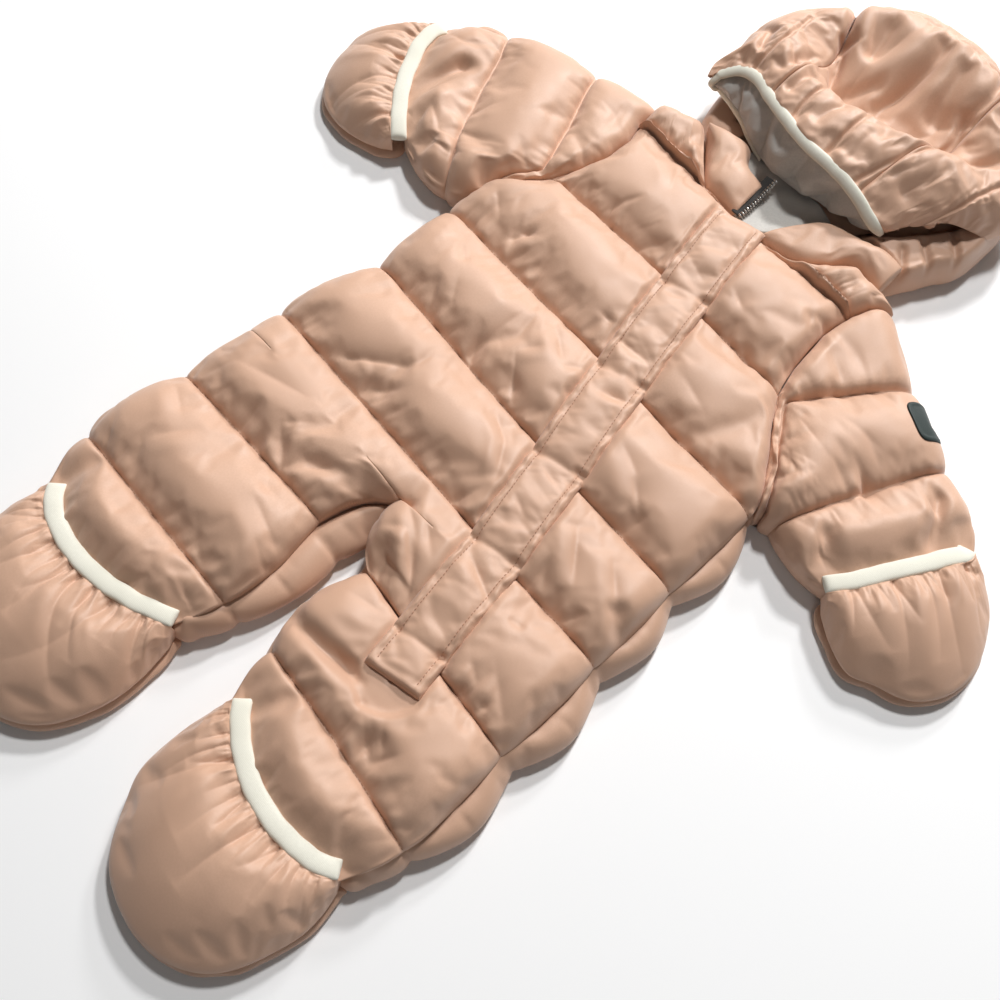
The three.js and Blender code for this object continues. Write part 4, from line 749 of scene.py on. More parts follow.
def settle(obj, pinned, pressure=4.0, slack=0.05, frames=22, cap=7.0, bending=0.4):
    """Blows the padding out by cloth simulation. No vertex ends further than cap from its start."""
    start = positions(obj)
    group = obj.vertex_groups.new(name="sewn")
    group.add([int(i) for i in np.flatnonzero(pinned)], 1.0, "REPLACE")
    cloth = obj.modifiers.new("cloth", "CLOTH")
    s = cloth.settings
    s.vertex_group_mass = "sewn"
    s.quality = 6
    s.mass = 0.15
    s.tension_stiffness = 25
    s.compression_stiffness = 12
    s.shear_stiffness = 8
    s.bending_stiffness = bending
    s.air_damping = 2.0
    s.use_pressure = True
    s.uniform_pressure_force = pressure
    s.shrink_min = -slack
    s.effector_weights.gravity = 0.0
    cloth.collision_settings.use_collision = False
    cloth.point_cache.frame_start = 1
    cloth.point_cache.frame_end = frames + 1
    scene = bpy.context.scene
    for f in range(1, frames + 1):
        scene.frame_set(f)
    done = obj.evaluated_get(bpy.context.evaluated_depsgraph_get())
    moved = np.array([v.co for v in done.data.vertices], float)
    obj.modifiers.remove(cloth)
    obj.vertex_groups.remove(group)
    scene.frame_set(1)
    step = moved - start
    far = np.linalg.norm(step, axis=1, keepdims=True) / MM
    set_positions(obj, start + step * np.minimum(1, cap / np.maximum(far, 1e-6)))


def apply_modifier(obj, kind, **values):
    modifier = obj.modifiers.new(kind.lower(), kind)
    for name, value in values.items():
        setattr(modifier, name, value)
    bpy.context.view_layer.objects.active = obj
    bpy.ops.object.modifier_apply(modifier=modifier.name)


def subdivide(obj):
    apply_modifier(obj, "SUBSURF", levels=1, render_levels=1)


def thicken(obj, thickness):
    """Gives a cloth its thickness, inwards."""
    apply_modifier(obj, "SOLIDIFY", thickness=thickness * MM, offset=-1.0, use_rim=True)


def face_towards(obj, way=(0, 0, 1)):
    """Turns an open cloth's faces so that their outside is the side that shows."""
    mean = np.zeros(3)
    for polygon in obj.data.polygons:
        mean += np.array(polygon.normal) * polygon.area
    if mean @ np.array(way, float) < 0:
        obj.data.flip_normals()


def open_loop(obj):
    """The vertices around a cloth's open edge, in order."""
    corners = np.array([p.vertices[:] for p in obj.data.polygons if len(p.vertices) == 4])
    edges = {tuple(e) for i in range(4) for e in corners[:, [i, (i + 1) % 4]].tolist()}
    ahead = {a: b for a, b in edges if (b, a) not in edges}
    loop = [min(ahead)]
    while ahead[loop[-1]] != loop[0]:
        loop.append(ahead[loop[-1]])
    return loop


def skirt(obj, steps):
    """Carries a cloth's open edge down: each step is a distance inwards and the height to reach."""
    co = positions(obj) / MM
    loop = np.array(open_loop(obj))
    edge = co[loop]
    run = sum(np.roll(edge, -k, axis=0) - np.roll(edge, k, axis=0) for k in (1, 2, 3))[:, :2]
    into = np.stack([-run[:, 1], run[:, 0]], axis=1)
    into /= np.maximum(np.linalg.norm(into, axis=1, keepdims=True), 1e-9)
    verts, faces = list(co), [list(p.vertices) for p in obj.data.polygons]
    last = loop
    for inwards, height in steps:
        ring = edge.copy()
        low = clamp01((24 - edge[:, 2]) / 8)[:, None]
        ring[:, :2] += into * inwards * (0.2 + 0.8 * low)
        ring[:, 2] = np.minimum(edge[:, 2] - 0.4, height)
        now = np.arange(len(loop)) + len(verts)
        verts.extend(ring)
        faces.extend(np.stack([np.roll(last, -1), last, now, np.roll(now, -1)], axis=1).tolist())
        last = now
    rebuild(obj, np.array(verts) * MM, faces)
    cap_open_edges(obj)


def rebuild(obj, verts, faces):
    obj.data.clear_geometry()
    obj.data.from_pydata([tuple(v) for v in verts], [], [tuple(int(i) for i in f) for f in faces])
    obj.data.update()


def cap_open_edges(obj):
    """Closes every open edge of a mesh with flat triangles and turns its faces to point out."""
    bm = bmesh.new()
    bm.from_mesh(obj.data)
    made = bmesh.ops.holes_fill(bm, edges=[e for e in bm.edges if e.is_boundary], sides=0)
    bmesh.ops.triangulate(bm, faces=made["faces"])
    bmesh.ops.recalc_face_normals(bm, faces=bm.faces)
    bm.to_mesh(obj.data)
    bm.free()


def finish_piece(obj, material, slot, *nodes):
    """Gives a piece its material, lets it ride on the frame's body and stand for its CAD nodes."""
    obj.data.materials.clear()
    obj.data.materials.append(material)
    obj.data.polygons.foreach_set("use_smooth", np.ones(len(obj.data.polygons), bool))
    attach(obj, "root")
    if nodes:
        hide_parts(*nodes)
    return obj


# Materials.
def mixed(nodes, links, factor, first, second):
    """A colour between two, by a factor socket."""
    mix = nodes.new("ShaderNodeMix")
    mix.data_type = "RGBA"
    links.new(factor, mix.inputs["Factor"])
    for socket, value in ((mix.inputs[6], first), (mix.inputs[7], second)):
        if hasattr(value, "is_output"):
            links.new(value, socket)
        else:
            socket.default_value = (*value, 1)
    return mix.outputs[2]


def noise(nodes, links, place, scale, detail=2.0, rough=0.5, kind="FBM"):
    texture = nodes.new("ShaderNodeTexNoise")
    texture.noise_type = kind
    links.new(place, texture.inputs["Vector"])
    texture.inputs["Scale"].default_value = scale
    texture.inputs["Detail"].default_value = detail
    texture.inputs["Roughness"].default_value = rough
    return texture.outputs["Fac"]


def mapped(nodes, links, value, low, high):
    """A noise value stretched from its usual range to low and high."""
    reach = nodes.new("ShaderNodeMapRange")
    links.new(value, reach.inputs["Value"])
    for name, number in (("From Min", 0.35), ("From Max", 0.65), ("To Min", low), ("To Max", high)):
        reach.inputs[name].default_value = number
    return reach.outputs["Result"]


def bumped(nodes, links, height, distance, strength, below=None):
    bump = nodes.new("ShaderNodeBump")
    links.new(height, bump.inputs["Height"])
    bump.inputs["Distance"].default_value = distance
    bump.inputs["Strength"].default_value = strength
    if below is not None:
        links.new(below, bump.inputs["Normal"])
    return bump.outputs["Normal"]


def weave(nodes, links, place, pitch):
    """Crossing threads of a plain weave, pitch metres apart."""
    total = None
    for axis in ("X", "Y"):
        wave = nodes.new("ShaderNodeTexWave")
        wave.bands_direction = axis
        links.new(place, wave.inputs["Vector"])
        wave.inputs["Scale"].default_value = 0.314 / pitch
        wave.inputs["Distortion"].default_value = 0.6
        wave.inputs["Detail Scale"].default_value = 3.0
        if total is None:
            total = wave.outputs["Fac"]
            continue
        add = nodes.new("ShaderNodeMath")
        add.operation = "MULTIPLY"
        links.new(total, add.inputs[0])
        links.new(wave.outputs["Fac"], add.inputs[1])
        total = add.outputs[0]
    return total


def cloth_material(name, light, dark, roughness, sheen, thread, crinkle, grain, specular=0.4):
    """Cloth of a softly varying colour, with woven threads of a pitch, crinkles and a fine grain."""
    m = bpy.data.materials.new(name)
    m.use_nodes = True
    nodes, links = m.node_tree.nodes, m.node_tree.links
    shader = nodes["Principled BSDF"]
    place = nodes.new("ShaderNodeTexCoord").outputs["Object"]
    broad = mapped(nodes, links, noise(nodes, links, place, 11, 3.0), 0, 1)
    fine = mapped(nodes, links, noise(nodes, links, place, 700, 2.0), 0, 0.5)
    base = mixed(nodes, links, broad, light, dark)
    links.new(mixed(nodes, links, fine, base, dark), shader.inputs["Base Color"])
    rough = mapped(nodes, links, noise(nodes, links, place, 60, 3.0), roughness - 0.06, roughness + 0.06)
    links.new(rough, shader.inputs["Roughness"])
    shader.inputs["Specular IOR Level"].default_value = specular
    shader.inputs["Sheen Weight"].default_value = sheen
    shader.inputs["Sheen Roughness"].default_value = 0.5
    folds_seen = noise(nodes, links, place, 34, 3.0, 0.55, "RIDGED_MULTIFRACTAL")
    normal = bumped(nodes, links, folds_seen, 0.0012, crinkle)
    normal = bumped(nodes, links, noise(nodes, links, place, 150, 4.0, 0.6), 0.0004, crinkle, normal)
    normal = bumped(nodes, links, noise(nodes, links, place, 1500, 2.0), 0.0003, grain, normal)
    if thread:
        normal = bumped(nodes, links, weave(nodes, links, place, thread), 0.00012, 0.5, normal)
    links.new(normal, shader.inputs["Normal"])
    return m


def metal_material():
    m = bpy.data.materials.new("zip_metal")
    m.use_nodes = True
    nodes, links = m.node_tree.nodes, m.node_tree.links
    shader = nodes["Principled BSDF"]
    place = nodes.new("ShaderNodeTexCoord").outputs["Object"]
    shader.inputs["Metallic"].default_value = 1.0
    worn = mapped(nodes, links, noise(nodes, links, place, 900), 0, 1)
    colour = mixed(nodes, links, worn, (0.72, 0.70, 0.67), (0.45, 0.43, 0.41))
    links.new(colour, shader.inputs["Base Color"])
    rough = mapped(nodes, links, noise(nodes, links, place, 1800), 0.22, 0.42)
    links.new(rough, shader.inputs["Roughness"])
    return m


shell = cloth_material(
    "shell_cloth", light=(0.66, 0.415, 0.29), dark=(0.60, 0.37, 0.255), roughness=0.46, sheen=0.15,
    thread=0.0006, crinkle=0.1, grain=0.12)
binding = cloth_material(
    "elastic_binding", light=(0.80, 0.78, 0.68), dark=(0.72, 0.70, 0.60), roughness=0.8, sheen=0.2,
    thread=0.0009, crinkle=0.08, grain=0.3, specular=0.25)
fleece = cloth_material(
    "fleece_pile", light=(0.62, 0.60, 0.56), dark=(0.50, 0.48, 0.45), roughness=0.95, sheen=0.3,
    thread=0, crinkle=0.3, grain=1.0, specular=0.1)
tape = cloth_material(
    "zip_tape_cloth", light=(0.03, 0.026, 0.024), dark=(0.02, 0.018, 0.016), roughness=0.75, sheen=0.1,
    thread=0.0007, crinkle=0.05, grain=0.3, specular=0.3)
patch_cloth = cloth_material(
    "patch_cloth", light=(0.02, 0.035, 0.03), dark=(0.012, 0.022, 0.02), roughness=0.6, sheen=0.1,
    thread=0.0008, crinkle=0.05, grain=0.3, specular=0.4)
thread = cloth_material(
    "thread", light=(0.52, 0.29, 0.185), dark=(0.42, 0.22, 0.14), roughness=0.6, sheen=0.1,
    thread=0, crinkle=0.1, grain=0.3, specular=0.4)
metal = metal_material()


# Quilted panels.
def front(name, blocks, columns, seed):
    verts, faces, pins, beside = weld(*panel_surface(name, blocks, columns, STITCH_LEVEL, CROWN, seed))
    obj = new_object(name + "_cloth", verts * MM, faces)
    face_towards(obj)
    settle(obj, pins | boundary(faces, len(verts)), slack=QUILT_SLACK)
    set_positions(obj, drawn_to_stitches(positions(obj), beside))
    subdivide(obj)
    rows = [row[0] for block in blocks.values() for row in block if row[1]]
    puckered(obj, rows, seed + 100, spacing=8.0, keep=clear_of_trims, uphill=(0, 1))
    creased(obj, CREASES, clear_of_trims)
    skirt(obj, [(0.6, FRONT_FLOOR + 2), (1.5, FRONT_FLOOR)])
    finish_piece(obj, shell, "shell", name)
    return obj


def sleeve(name, rows, seed):
    lengths = np.linalg.norm(np.diff(np.array(rows[1][0], float), axis=0), axis=1)
    columns = {"arm": tuple(np.maximum(2, np.round(lengths / GRID)).astype(int))}
    verts, faces, pins, beside = panel_surface(
        name, {"arm": rows}, columns, SLEEVE_STITCH_LEVEL, SLEEVE_CROWN, seed)
    obj = new_object(name + "_cloth", verts * MM, faces)
    face_towards(obj)
    settle(obj, pins | boundary(faces, len(verts)), slack=QUILT_SLACK)
    set_positions(obj, drawn_to_stitches(positions(obj), beside))
    subdivide(obj)
    puckered(obj, [row[0] for row in rows if row[1]], seed + 100, keep=clear_of_trims)
    creased(obj, SLEEVE_CREASES, clear_of_trims)
    skirt(obj, [(-1.0, 8), (0.5, 3), (5, 0)])
    finish_piece(obj, shell, "shell", name)
    return obj


def swept(outline, profile):
    """A grid round an outline, with profile points (distance inwards, height) that differ along it."""
    outline = np.asarray(outline, float)
    into = outline[:, 3:5]
    lines = [np.concatenate([outline[:, :2] + into * d[:, None], h[:, None]], axis=1) for d, h in profile]
    grid = np.stack(lines, 1)
    n, m = grid.shape[:2]
    faces = grid_faces(n + 1, m)
    return grid.reshape(-1, 3), faces % (n * m)


def back():
    """The back: flat where it rests, rolled up at its sides to the front's seams, and quilted as it is."""
    ring = np.array(BACK_OUTLINE + BACK_OUTLINE[:1], float)
    table = np.concatenate([ring[:, :2], ring[:, 2:4], ring[:, 4:6]], axis=1)
    length = np.linalg.norm(np.diff(ring[:, :2], axis=0), axis=1)
    count = int(length.sum() / GRID)
    reach = np.concatenate([[0], np.cumsum(length)])
    at = np.arange(count) / count * reach[-1]
    place = np.interp(at, reach, np.arange(len(ring)))
    dense = through(table, place)
    x, y, wrap, lift = dense[:, 0], dense[:, 1], np.maximum(dense[:, 2], 1), clamp01(dense[:, 3])
    into = dense[:, 4:6] / np.maximum(np.linalg.norm(dense[:, 4:6], axis=1, keepdims=True), 1e-6)
    channel = np.zeros(count)
    sewn = np.zeros(count, bool)
    for side, own in (("right", x < 1), ("left", x >= 1)):
        levels = BACK_QUILT[side]
        for high, low in zip(levels[:-1], levels[1:]):
            inside = own & (y <= high) & (y > low)
            channel[inside] = ((high - y) / (high - low))[inside]
            sewn |= own & (np.abs(y - low) < 0.6 * GRID)
    full = puff(channel) * (y < 60)
    out = -5.0 * full * clamp01((wrap - 3) / 5)
    mix = lambda hidden, shown: hidden + (shown - hidden) * lift
    profile = [
        (wrap + 3, mix(16.4, 17.0) + 0 * full), (wrap, mix(17.0, 20.5 + 0 * full)),
        (0.75 * wrap, mix(17.0, 21.5 + 2.5 * full)),
        (0.42 * wrap + 0.3 * out, mix(16.8, 18.5 + 3.0 * full)),
        (0.10 * wrap + 0.7 * out, mix(15.0, 13.5 + 1.5 * full)), (out, 8.5 + 0 * full),
        (out + 1.2, 3.8 + 0 * full), (5 + 0 * full, 0 * full),
    ]
    verts, faces = swept(np.column_stack([x, y, wrap, into]), profile)
    obj = new_object("back_cloth", verts * MM, faces)
    edge = boundary(faces, len(verts)) | np.repeat(sewn, len(profile))
    edge |= np.tile([i < 2 or i > 5 for i in range(len(profile))], count)
    settle(obj, edge, pressure=2.5, cap=3.0)
    subdivide(obj)
    keep_on_floor(obj)
    cap_open_edges(obj)
    finish_piece(obj, shell, "shell", "back")
    return obj


def keep_on_floor(obj, level=0.0):
    co = positions(obj)
    co[:, 2] = np.maximum(co[:, 2], level * MM)
    set_positions(obj, co)


# Hand and foot covers.
# Three sizes of folds in a gathered edge, each with its spacing and the least and most of its reach,
# depth and width.
GATHERS = [
    (4.6, (6, 13), (0.8, 1.6), (0.8, 1.3)),
    (9, (18, 38), (1.6, 3.2), (1.3, 2.2)),
    (17, (42, 80), (2.6, 4.4), (1.8, 3.2)),
]


def gathers(share, away, length, seed):
    """The troughs of a gathered edge: share runs along it, 0 to 1, and away is the distance from it."""
    random = np.random.default_rng(seed)
    dip = np.zeros(share.shape)
    at = share * length
    for spacing, reaches, depths, widths in GATHERS:
        mark = random.uniform(0.3, 1) * spacing
        while mark < length:
            reach, wide = random.uniform(*reaches), random.uniform(*widths)
            lean, bend = random.uniform(-0.25, 0.25), random.uniform(-0.006, 0.006)
            off = at - mark - lean * away - bend * away ** 2
            shape = clamp01(1 - away / reach) ** 0.7 * np.minimum(1, 0.55 + away / 10)
            widened = wide * (1 + away / 28)
            ridge = np.exp(-(((off - 2.7 * widened) / widened) ** 2))
            trough = np.exp(-np.abs(off) / widened) - 0.4 * ridge
            dip += random.uniform(*depths) * shape * trough
            mark += spacing * random.uniform(0.5, 1.5)
    return dip


def cover(name, seed):
    """The gathered top of a fold-over cover, from its elastic edge to its outer seam."""
    sizes = COVERS[name]
    around = np.linalg.norm(np.diff(np.array(sizes["rim"], float), axis=0), axis=1).sum()
    columns = int(around / COVER_COLUMN)
    rows = COVER_ROWS[name.split("_")[0]]
    trim, rim = curve(sizes["trim"], columns + 1), curve(sizes["rim"], columns + 1)
    share = np.linspace(0, 1, columns + 1)[:, None]
    u = np.linspace(0, 1, rows + 1)[None]
    middle = np.sqrt(np.sin(np.pi * share).clip(0))
    xy = trim[:, None] + (rim - trim)[:, None] * u[..., None]
    mouth = sizes["mouth"] - 6 + 6 * middle
    dome = 0.55 * sizes["crown"] * middle * np.sin(np.pi * u ** 0.85).clip(0) ** 0.8
    z = mouth * (1 - u) + (sizes["sole"] + 3) * u + dome
    grid = np.concatenate([xy, z[..., None]], axis=-1)
    n, m = grid.shape[:2]
    faces = grid_faces(n, m)
    obj = new_object(name + "_cover_cloth", grid.reshape(-1, 3) * MM, faces)
    face_towards(obj)
    settle(obj, boundary(faces, n * m), pressure=3.0, slack=0.012, cap=4.0, bending=3.0)
    subdivide(obj)
    co = positions(obj) / MM
    length = np.linalg.norm(np.diff(trim, axis=0), axis=1).sum()
    place, away = along_line(co[:, :2], trim)
    ends = clamp01(np.minimum(place, length - place) / 12)
    dip = gathers(place / length, np.abs(away), length, seed) * ends * clamp01(np.abs(away) / 1.5)
    co[:, 2] -= dip * clamp01((co[:, 2] - sizes["sole"] - 2) / 6)
    set_positions(obj, co * MM)
    skirt(obj, [(0.3, sizes["sole"] + 1.5), (1.5, sizes["sole"])])
    finish_piece(obj, shell, "shell", name + "_cover")
    return obj


def low_pad(name, outline, top, slot_nodes, bulge=2.5, seed=1):
    """A pad that rests on the floor inside an outline, with a rolled side."""
    ring = curve(list(outline) + [outline[0]], int(perimeter(outline) / RING_STEP) + 1)[:-1]
    run = np.roll(ring, -2, axis=0) - np.roll(ring, 2, axis=0)
    into = np.stack([-run[:, 1], run[:, 0]], axis=1)
    into /= np.linalg.norm(into, axis=1, keepdims=True)
    if signed_area(ring) < 0:
        into = -into
    one = np.ones(len(ring))
    wave = 0.6 * ripple(ring, 25, seed)
    profile = [
        (9 * one, top + 0 * one), (3.5 * one, top + 0.4 * wave), (0.4 - wave * 0.5, 0.86 * top + 0 * one),
        (-bulge * 0.8 + wave, 0.6 * top + 0 * one), (-bulge + wave, 0.36 * top + 0 * one),
        (0.6 + 0 * one, 0.1 * top + 0 * one), (5 * one, 0 * one),
    ]
    verts, faces = swept(np.column_stack([ring, one, into]), profile)
    obj = new_object(name + "_cloth", verts * MM, faces)
    subdivide(obj)
    keep_on_floor(obj)
    cap_open_edges(obj)
    finish_piece(obj, shell, "shell", *slot_nodes)
    return obj


# The lowest layer's profile: how far in its flat top is, and its rolled side as (distance inwards, height).
UNDER_TOP = (46, 42, 38, 34, 30, 26.5, 23, 20, 17, 14, 11, 8, 5.5, 3.5)
UNDER_SIDE = ((1.2, 16), (-1, 13.5), (-2.5, 10.5), (-3.2, 7.5), (-2.2, 4), (0.6, 1.5), (5, 0))


def hood_under():
    """The hood's lowest layer: flat under the hood, and a rolled, seamed edge where it shows."""
    ring = curve(list(HOOD_UNDER) + [HOOD_UNDER[0]], int(perimeter(HOOD_UNDER) / 2.6) + 1)[:-1]
    run = np.roll(ring, -2, axis=0) - np.roll(ring, 2, axis=0)
    into = np.stack([-run[:, 1], run[:, 0]], axis=1)
    into /= np.linalg.norm(into, axis=1, keepdims=True) * np.sign(signed_area(ring))
    one = np.ones(len(ring))
    profile = [(d * one, 17 * one) for d in UNDER_TOP]
    profile += [(d * one, h * one) for d, h in UNDER_SIDE]
    verts, faces = swept(np.column_stack([ring, one, into]), profile)
    obj = new_object("hood_under_cloth", verts * MM, faces)
    subdivide(obj)
    co = positions(obj) / MM
    _, off = along_line(co[:, :2], UNDER_COVERED)
    seen = smooth(-off / 9) * clamp01((co[:, 1] - 222) / 14) * clamp01((322 - co[:, 1]) / 26)
    across = clamp01((co[:, 2] - 6) / 11)
    near = np.min([line_distance(co[:, :2], seam) for seam in UNDER_SEAMS], axis=0)
    co[:, 2] += 14.5 * seen * across * (1 - 0.3 * np.exp(-((near / 2.6) ** 2)))
    set_positions(obj, co * MM)
    puckered(obj, UNDER_SEAMS, 87, spacing=6.0, strength=0.8, keep=lambda co: seen)
    keep_on_floor(obj)
    cap_open_edges(obj)
    finish_piece(obj, shell, "shell", "hood_under")


def perimeter(points):
    points = np.array(list(points) + [points[0]], float)
    return np.linalg.norm(np.diff(points, axis=0), axis=1).sum()


def signed_area(points):
    x, y = np.asarray(points, float).T
    return 0.5 * (x * np.roll(y, -1) - np.roll(x, -1) * y).sum()


def tube_faces(rings, around):
    """The faces of a tube of rings, open at its ends."""
    faces = []
    for r in range(rings - 1):
        for k in range(around):
            here, ahead = r * around, (r + 1) * around
            after = (k + 1) % around
            faces.append((here + k, ahead + k, ahead + after, here + after))
    return faces


def band(name, line, section, material, slot, nodes):
    """A strip of a closed section along a line. The section is offsets across it and up from it."""
    grid = np.stack([line["at"] + line["side"] * a + line["up"] * b for a, b in section], axis=1)
    n, m = grid.shape[:2]
    faces = tube_faces(n, m)
    obj = new_object(name, grid.reshape(-1, 3) * MM, faces)
    cap_open_edges(obj)
    subdivide(obj)
    return finish_piece(obj, material, slot, *nodes)


BAND_SECTION = [
    (-0.8, -4.2), (-0.9, -1.2), (0.2, 0.2), (2.5, 0.6), (5.5, 0.3), (8.5, -0.3), (11, -1.2), (12, -2.6),
    (11.4, -5.2), (5, -5.2),
]


def elastic(name, seed):
    """The elastic edge of a cover: a flat band, slightly drawn up by its gathers, with turned-in ends."""
    sizes = COVERS[name]
    count = int(perimeter(sizes["trim"]) / 2 / 2.5)
    line = curve(sizes["trim"], count)
    run = np.gradient(line, axis=0)
    side = np.stack([-run[:, 1], run[:, 0]], axis=1)
    side /= np.linalg.norm(side, axis=1, keepdims=True)
    to_body = np.array([0, 40]) - line[count // 2]
    if side[count // 2] @ to_body < 0:
        side = -side
    t = np.linspace(0, 1, count)
    top = sizes["mouth"] - 5.2 + 6.2 * np.sin(np.pi * t).clip(0) ** 0.5 + 0.5 * ripple(line, 30, seed)
    at = np.column_stack([line + side * 0.3 * ripple(line, 18, seed + 1)[:, None], top])
    frame_of = {"at": at, "side": np.column_stack([side, np.zeros(count)]), "up": np.array([0, 0, 1.0])}
    obj = band(name + "_elastic_band", frame_of, BAND_SECTION, binding, "binding", [name + "_elastic"])
    length = float(np.linalg.norm(np.diff(at, axis=0), axis=1).sum()) * MM
    return obj


# The placket. Its grid's places across it run from its right edge to its middle, and on in mirror.
PLACKET_ACROSS = [-1, -0.985, -0.93, -0.84, -0.76, -TOPSTITCH, -0.66, -0.56, -0.42, -0.28, -0.14, 0]


def placket_tucks():
    """Small folds across the placket's two edges, where the rows of quilting pass under it."""
    tucks = []
    for k in range(1, len(CENTRE_FRONT) - 1):
        run = np.array(CENTRE_FRONT[k + 1], float) - CENTRE_FRONT[k - 1]
        run /= np.linalg.norm(run)
        side = np.array([run[1], -run[0]])
        for way in (-1, 1):
            outer = np.array(CENTRE_FRONT[k]) + side * way * PLACKET_HALF
            tucks.append((outer, outer - side * way * 9 + run * 2.5 * way, 2.4, 1.6))
            tucks.append((outer + run * 5, outer - side * way * 8 + run * 7, 1.2, 1.3))
    return tucks


def placket():
    """The zip cover: a folded strip with a row of stitches near each edge."""
    length = np.linalg.norm(np.diff(np.array(CENTRE_FRONT, float), axis=0), axis=1).sum()
    rows = int(length / 2.6)
    line = along(CENTRE_FRONT, np.linspace(0, 1, rows + 1))
    run = np.gradient(line, axis=0)
    side = np.stack([run[:, 1], -run[:, 0]], axis=1) / np.linalg.norm(run, axis=1)[:, None]
    evened = [np.convolve(np.pad(side[:, i], 6, "edge"), np.ones(13) / 13, "valid") for i in (0, 1)]
    side = np.stack(evened, axis=1)
    across = np.array(PLACKET_ACROSS)
    across = np.concatenate([across, -across[-2::-1]])
    topstitch = np.isclose(np.abs(across), TOPSTITCH)
    xy = line[:, None] + side[:, None] * across[None, :, None] * PLACKET_HALF
    ends = np.minimum(np.arange(rows + 1), rows - np.arange(rows + 1))[:, None] * length / rows
    edge = np.minimum(ends, (1 - np.abs(across))[None] * PLACKET_HALF)
    height = placket_bed(line[:, 1])[:, None] + 1.2 + 4.6 * rise(edge, 2.6)
    sewn = np.exp(-(((np.abs(across) - TOPSTITCH) * PLACKET_HALF / 1.3) ** 2))
    height = height - 1.5 * sewn[None] * (ends > 6)
    height = height - 1.5 * np.exp(-(((ends - 6.5) / 1.3) ** 2)) * (np.abs(across) < 0.74)[None]
    height = height + 0.5 * ripple(xy, 34, 21)
    grid = np.concatenate([xy, height[..., None]], axis=-1)
    n, m = grid.shape[:2]
    faces = grid_faces(n, m)
    obj = new_object("placket_cloth", grid.reshape(-1, 3) * MM, faces)
    face_towards(obj)
    held = boundary(faces, n * m) | np.tile(topstitch, n)
    settle(obj, held, pressure=0.6, slack=0.02, cap=1.5, bending=0.8)
    subdivide(obj)
    edges = [(line + side * k * PLACKET_HALF).tolist() for k in (-TOPSTITCH, TOPSTITCH)]
    puckered(obj, edges, 33, spacing=7.0, strength=0.5)
    creased(obj, PLACKET_CREASES)
    creased(obj, placket_tucks())
    thicken(obj, 2.6)
    finish_piece(obj, shell, "shell", "placket")
    return obj


# The hood.
def hood_grid(first, last, columns):
    table = np.array(HOOD, float)
    sections = through(table, np.linspace(first, last, columns + 1))
    places = np.concatenate([
        np.linspace(0, 1, 12, endpoint=False), np.linspace(1, 2, 12, endpoint=False),
        np.linspace(2, 3, 18, endpoint=False), np.linspace(3, 4, 14, endpoint=False), np.linspace(4, 5, 6),
    ])
    return np.stack([through(section, places) for section in sections])


def hood_panel(name, seed):
    first, last = HOOD_PANELS[name]
    columns = int((last - first) * 14)
    grid = hood_grid(first, last, columns)
    xy = grid[..., :2]
    grid[..., 2] -= folds(xy, HOOD_FOLDS) * 1.1
    n, m = grid.shape[:2]
    faces = grid_faces(n, m)
    obj = new_object(name + "_cloth", grid.reshape(-1, 3) * MM, faces)
    face_towards(obj)
    pins = boundary(faces, n * m)
    seams = np.min([line_distance(xy, seam) for seam in HOOD_SEAMS], axis=0)
    pins |= ((seams < 1.9) & (grid[..., 2] > 34)).ravel()
    settle(obj, pins, pressure=2.6, slack=0.045, cap=7.0, bending=0.4)
    subdivide(obj)
    co = positions(obj) / MM
    near = np.min([line_distance(co[:, :2], seam) for seam in HOOD_SEAMS], axis=0)
    inner = (first > 0, last < len(HOOD) - 1)
    for use, k in zip(inner, (first, last)):
        if use:
            near = np.minimum(near, line_distance(co[:, :2], hood_grid(k, k, 0)[0, :, :2]))
    co[:, 2] -= 3.0 * np.exp(-((near / 1.7) ** 2)) * clamp01((co[:, 2] - 34) / 8)
    set_positions(obj, co * MM)
    inside = fading_at_edge(obj, 7)
    high = lambda co: clamp01((co[:, 2] - 34) / 10) * inside
    puckered(obj, HOOD_SEAMS, seed, spacing=7.0, strength=0.9, keep=high)
    creased(obj, HOOD_CREASES, high)
    keep_on_floor(obj, FRONT_FLOOR)
    thicken(obj, 5.0)
    finish_piece(obj, shell, "shell", name)
    return obj


def hood_rim():
    """The rolled edge of the hood's mouth: along the brim, round its right corner and back on the lip."""
    brim = hood_grid(0.22, 9.8, 90)[::-1, 0] + np.array([0, -1.2, -2.4])
    corner = [(-110.5, 246.5, 36), (-111, 249, 32.5), (-107, 249.5, 30)]
    lip = [(x, y + 1, z - 4) for x, y, z in FACING_LIP[:4]]
    path = np.concatenate([curve(brim, 100)[:-3], curve([brim[-4], *corner, *lip], 44)[1:]])
    count = len(path)
    path[:, :2] += 0.2 * ripple(path, 15, 31)[:, None]
    on_lip = smooth((np.arange(count) - 92) / 10)
    run = np.gradient(path, axis=0)
    run /= np.linalg.norm(run, axis=1, keepdims=True)
    side = np.array([0, -0.45, -0.89])
    grid = []
    for k in range(count):
        side = side - run[k] * (side @ run[k])
        side /= np.linalg.norm(side)
        up = np.cross(run[k], side)
        end = min(1, (k + 1.5) / 7, (count - k + 0.5) / 7) ** 0.6
        wide, tall = (4.6 - 1.9 * on_lip[k]) * end, 2.1 * end
        turns = np.arange(12) * math.tau / 12
        grid.append(path[k] + np.outer(np.cos(turns) * wide, side) + np.outer(np.sin(turns) * tall, up))
    grid = np.array(grid)
    faces = tube_faces(count, 12)
    obj = new_object("hood_elastic_band", grid.reshape(-1, 3) * MM, faces)
    cap_open_edges(obj)
    subdivide(obj)
    return finish_piece(obj, binding, "binding", "hood_elastic")


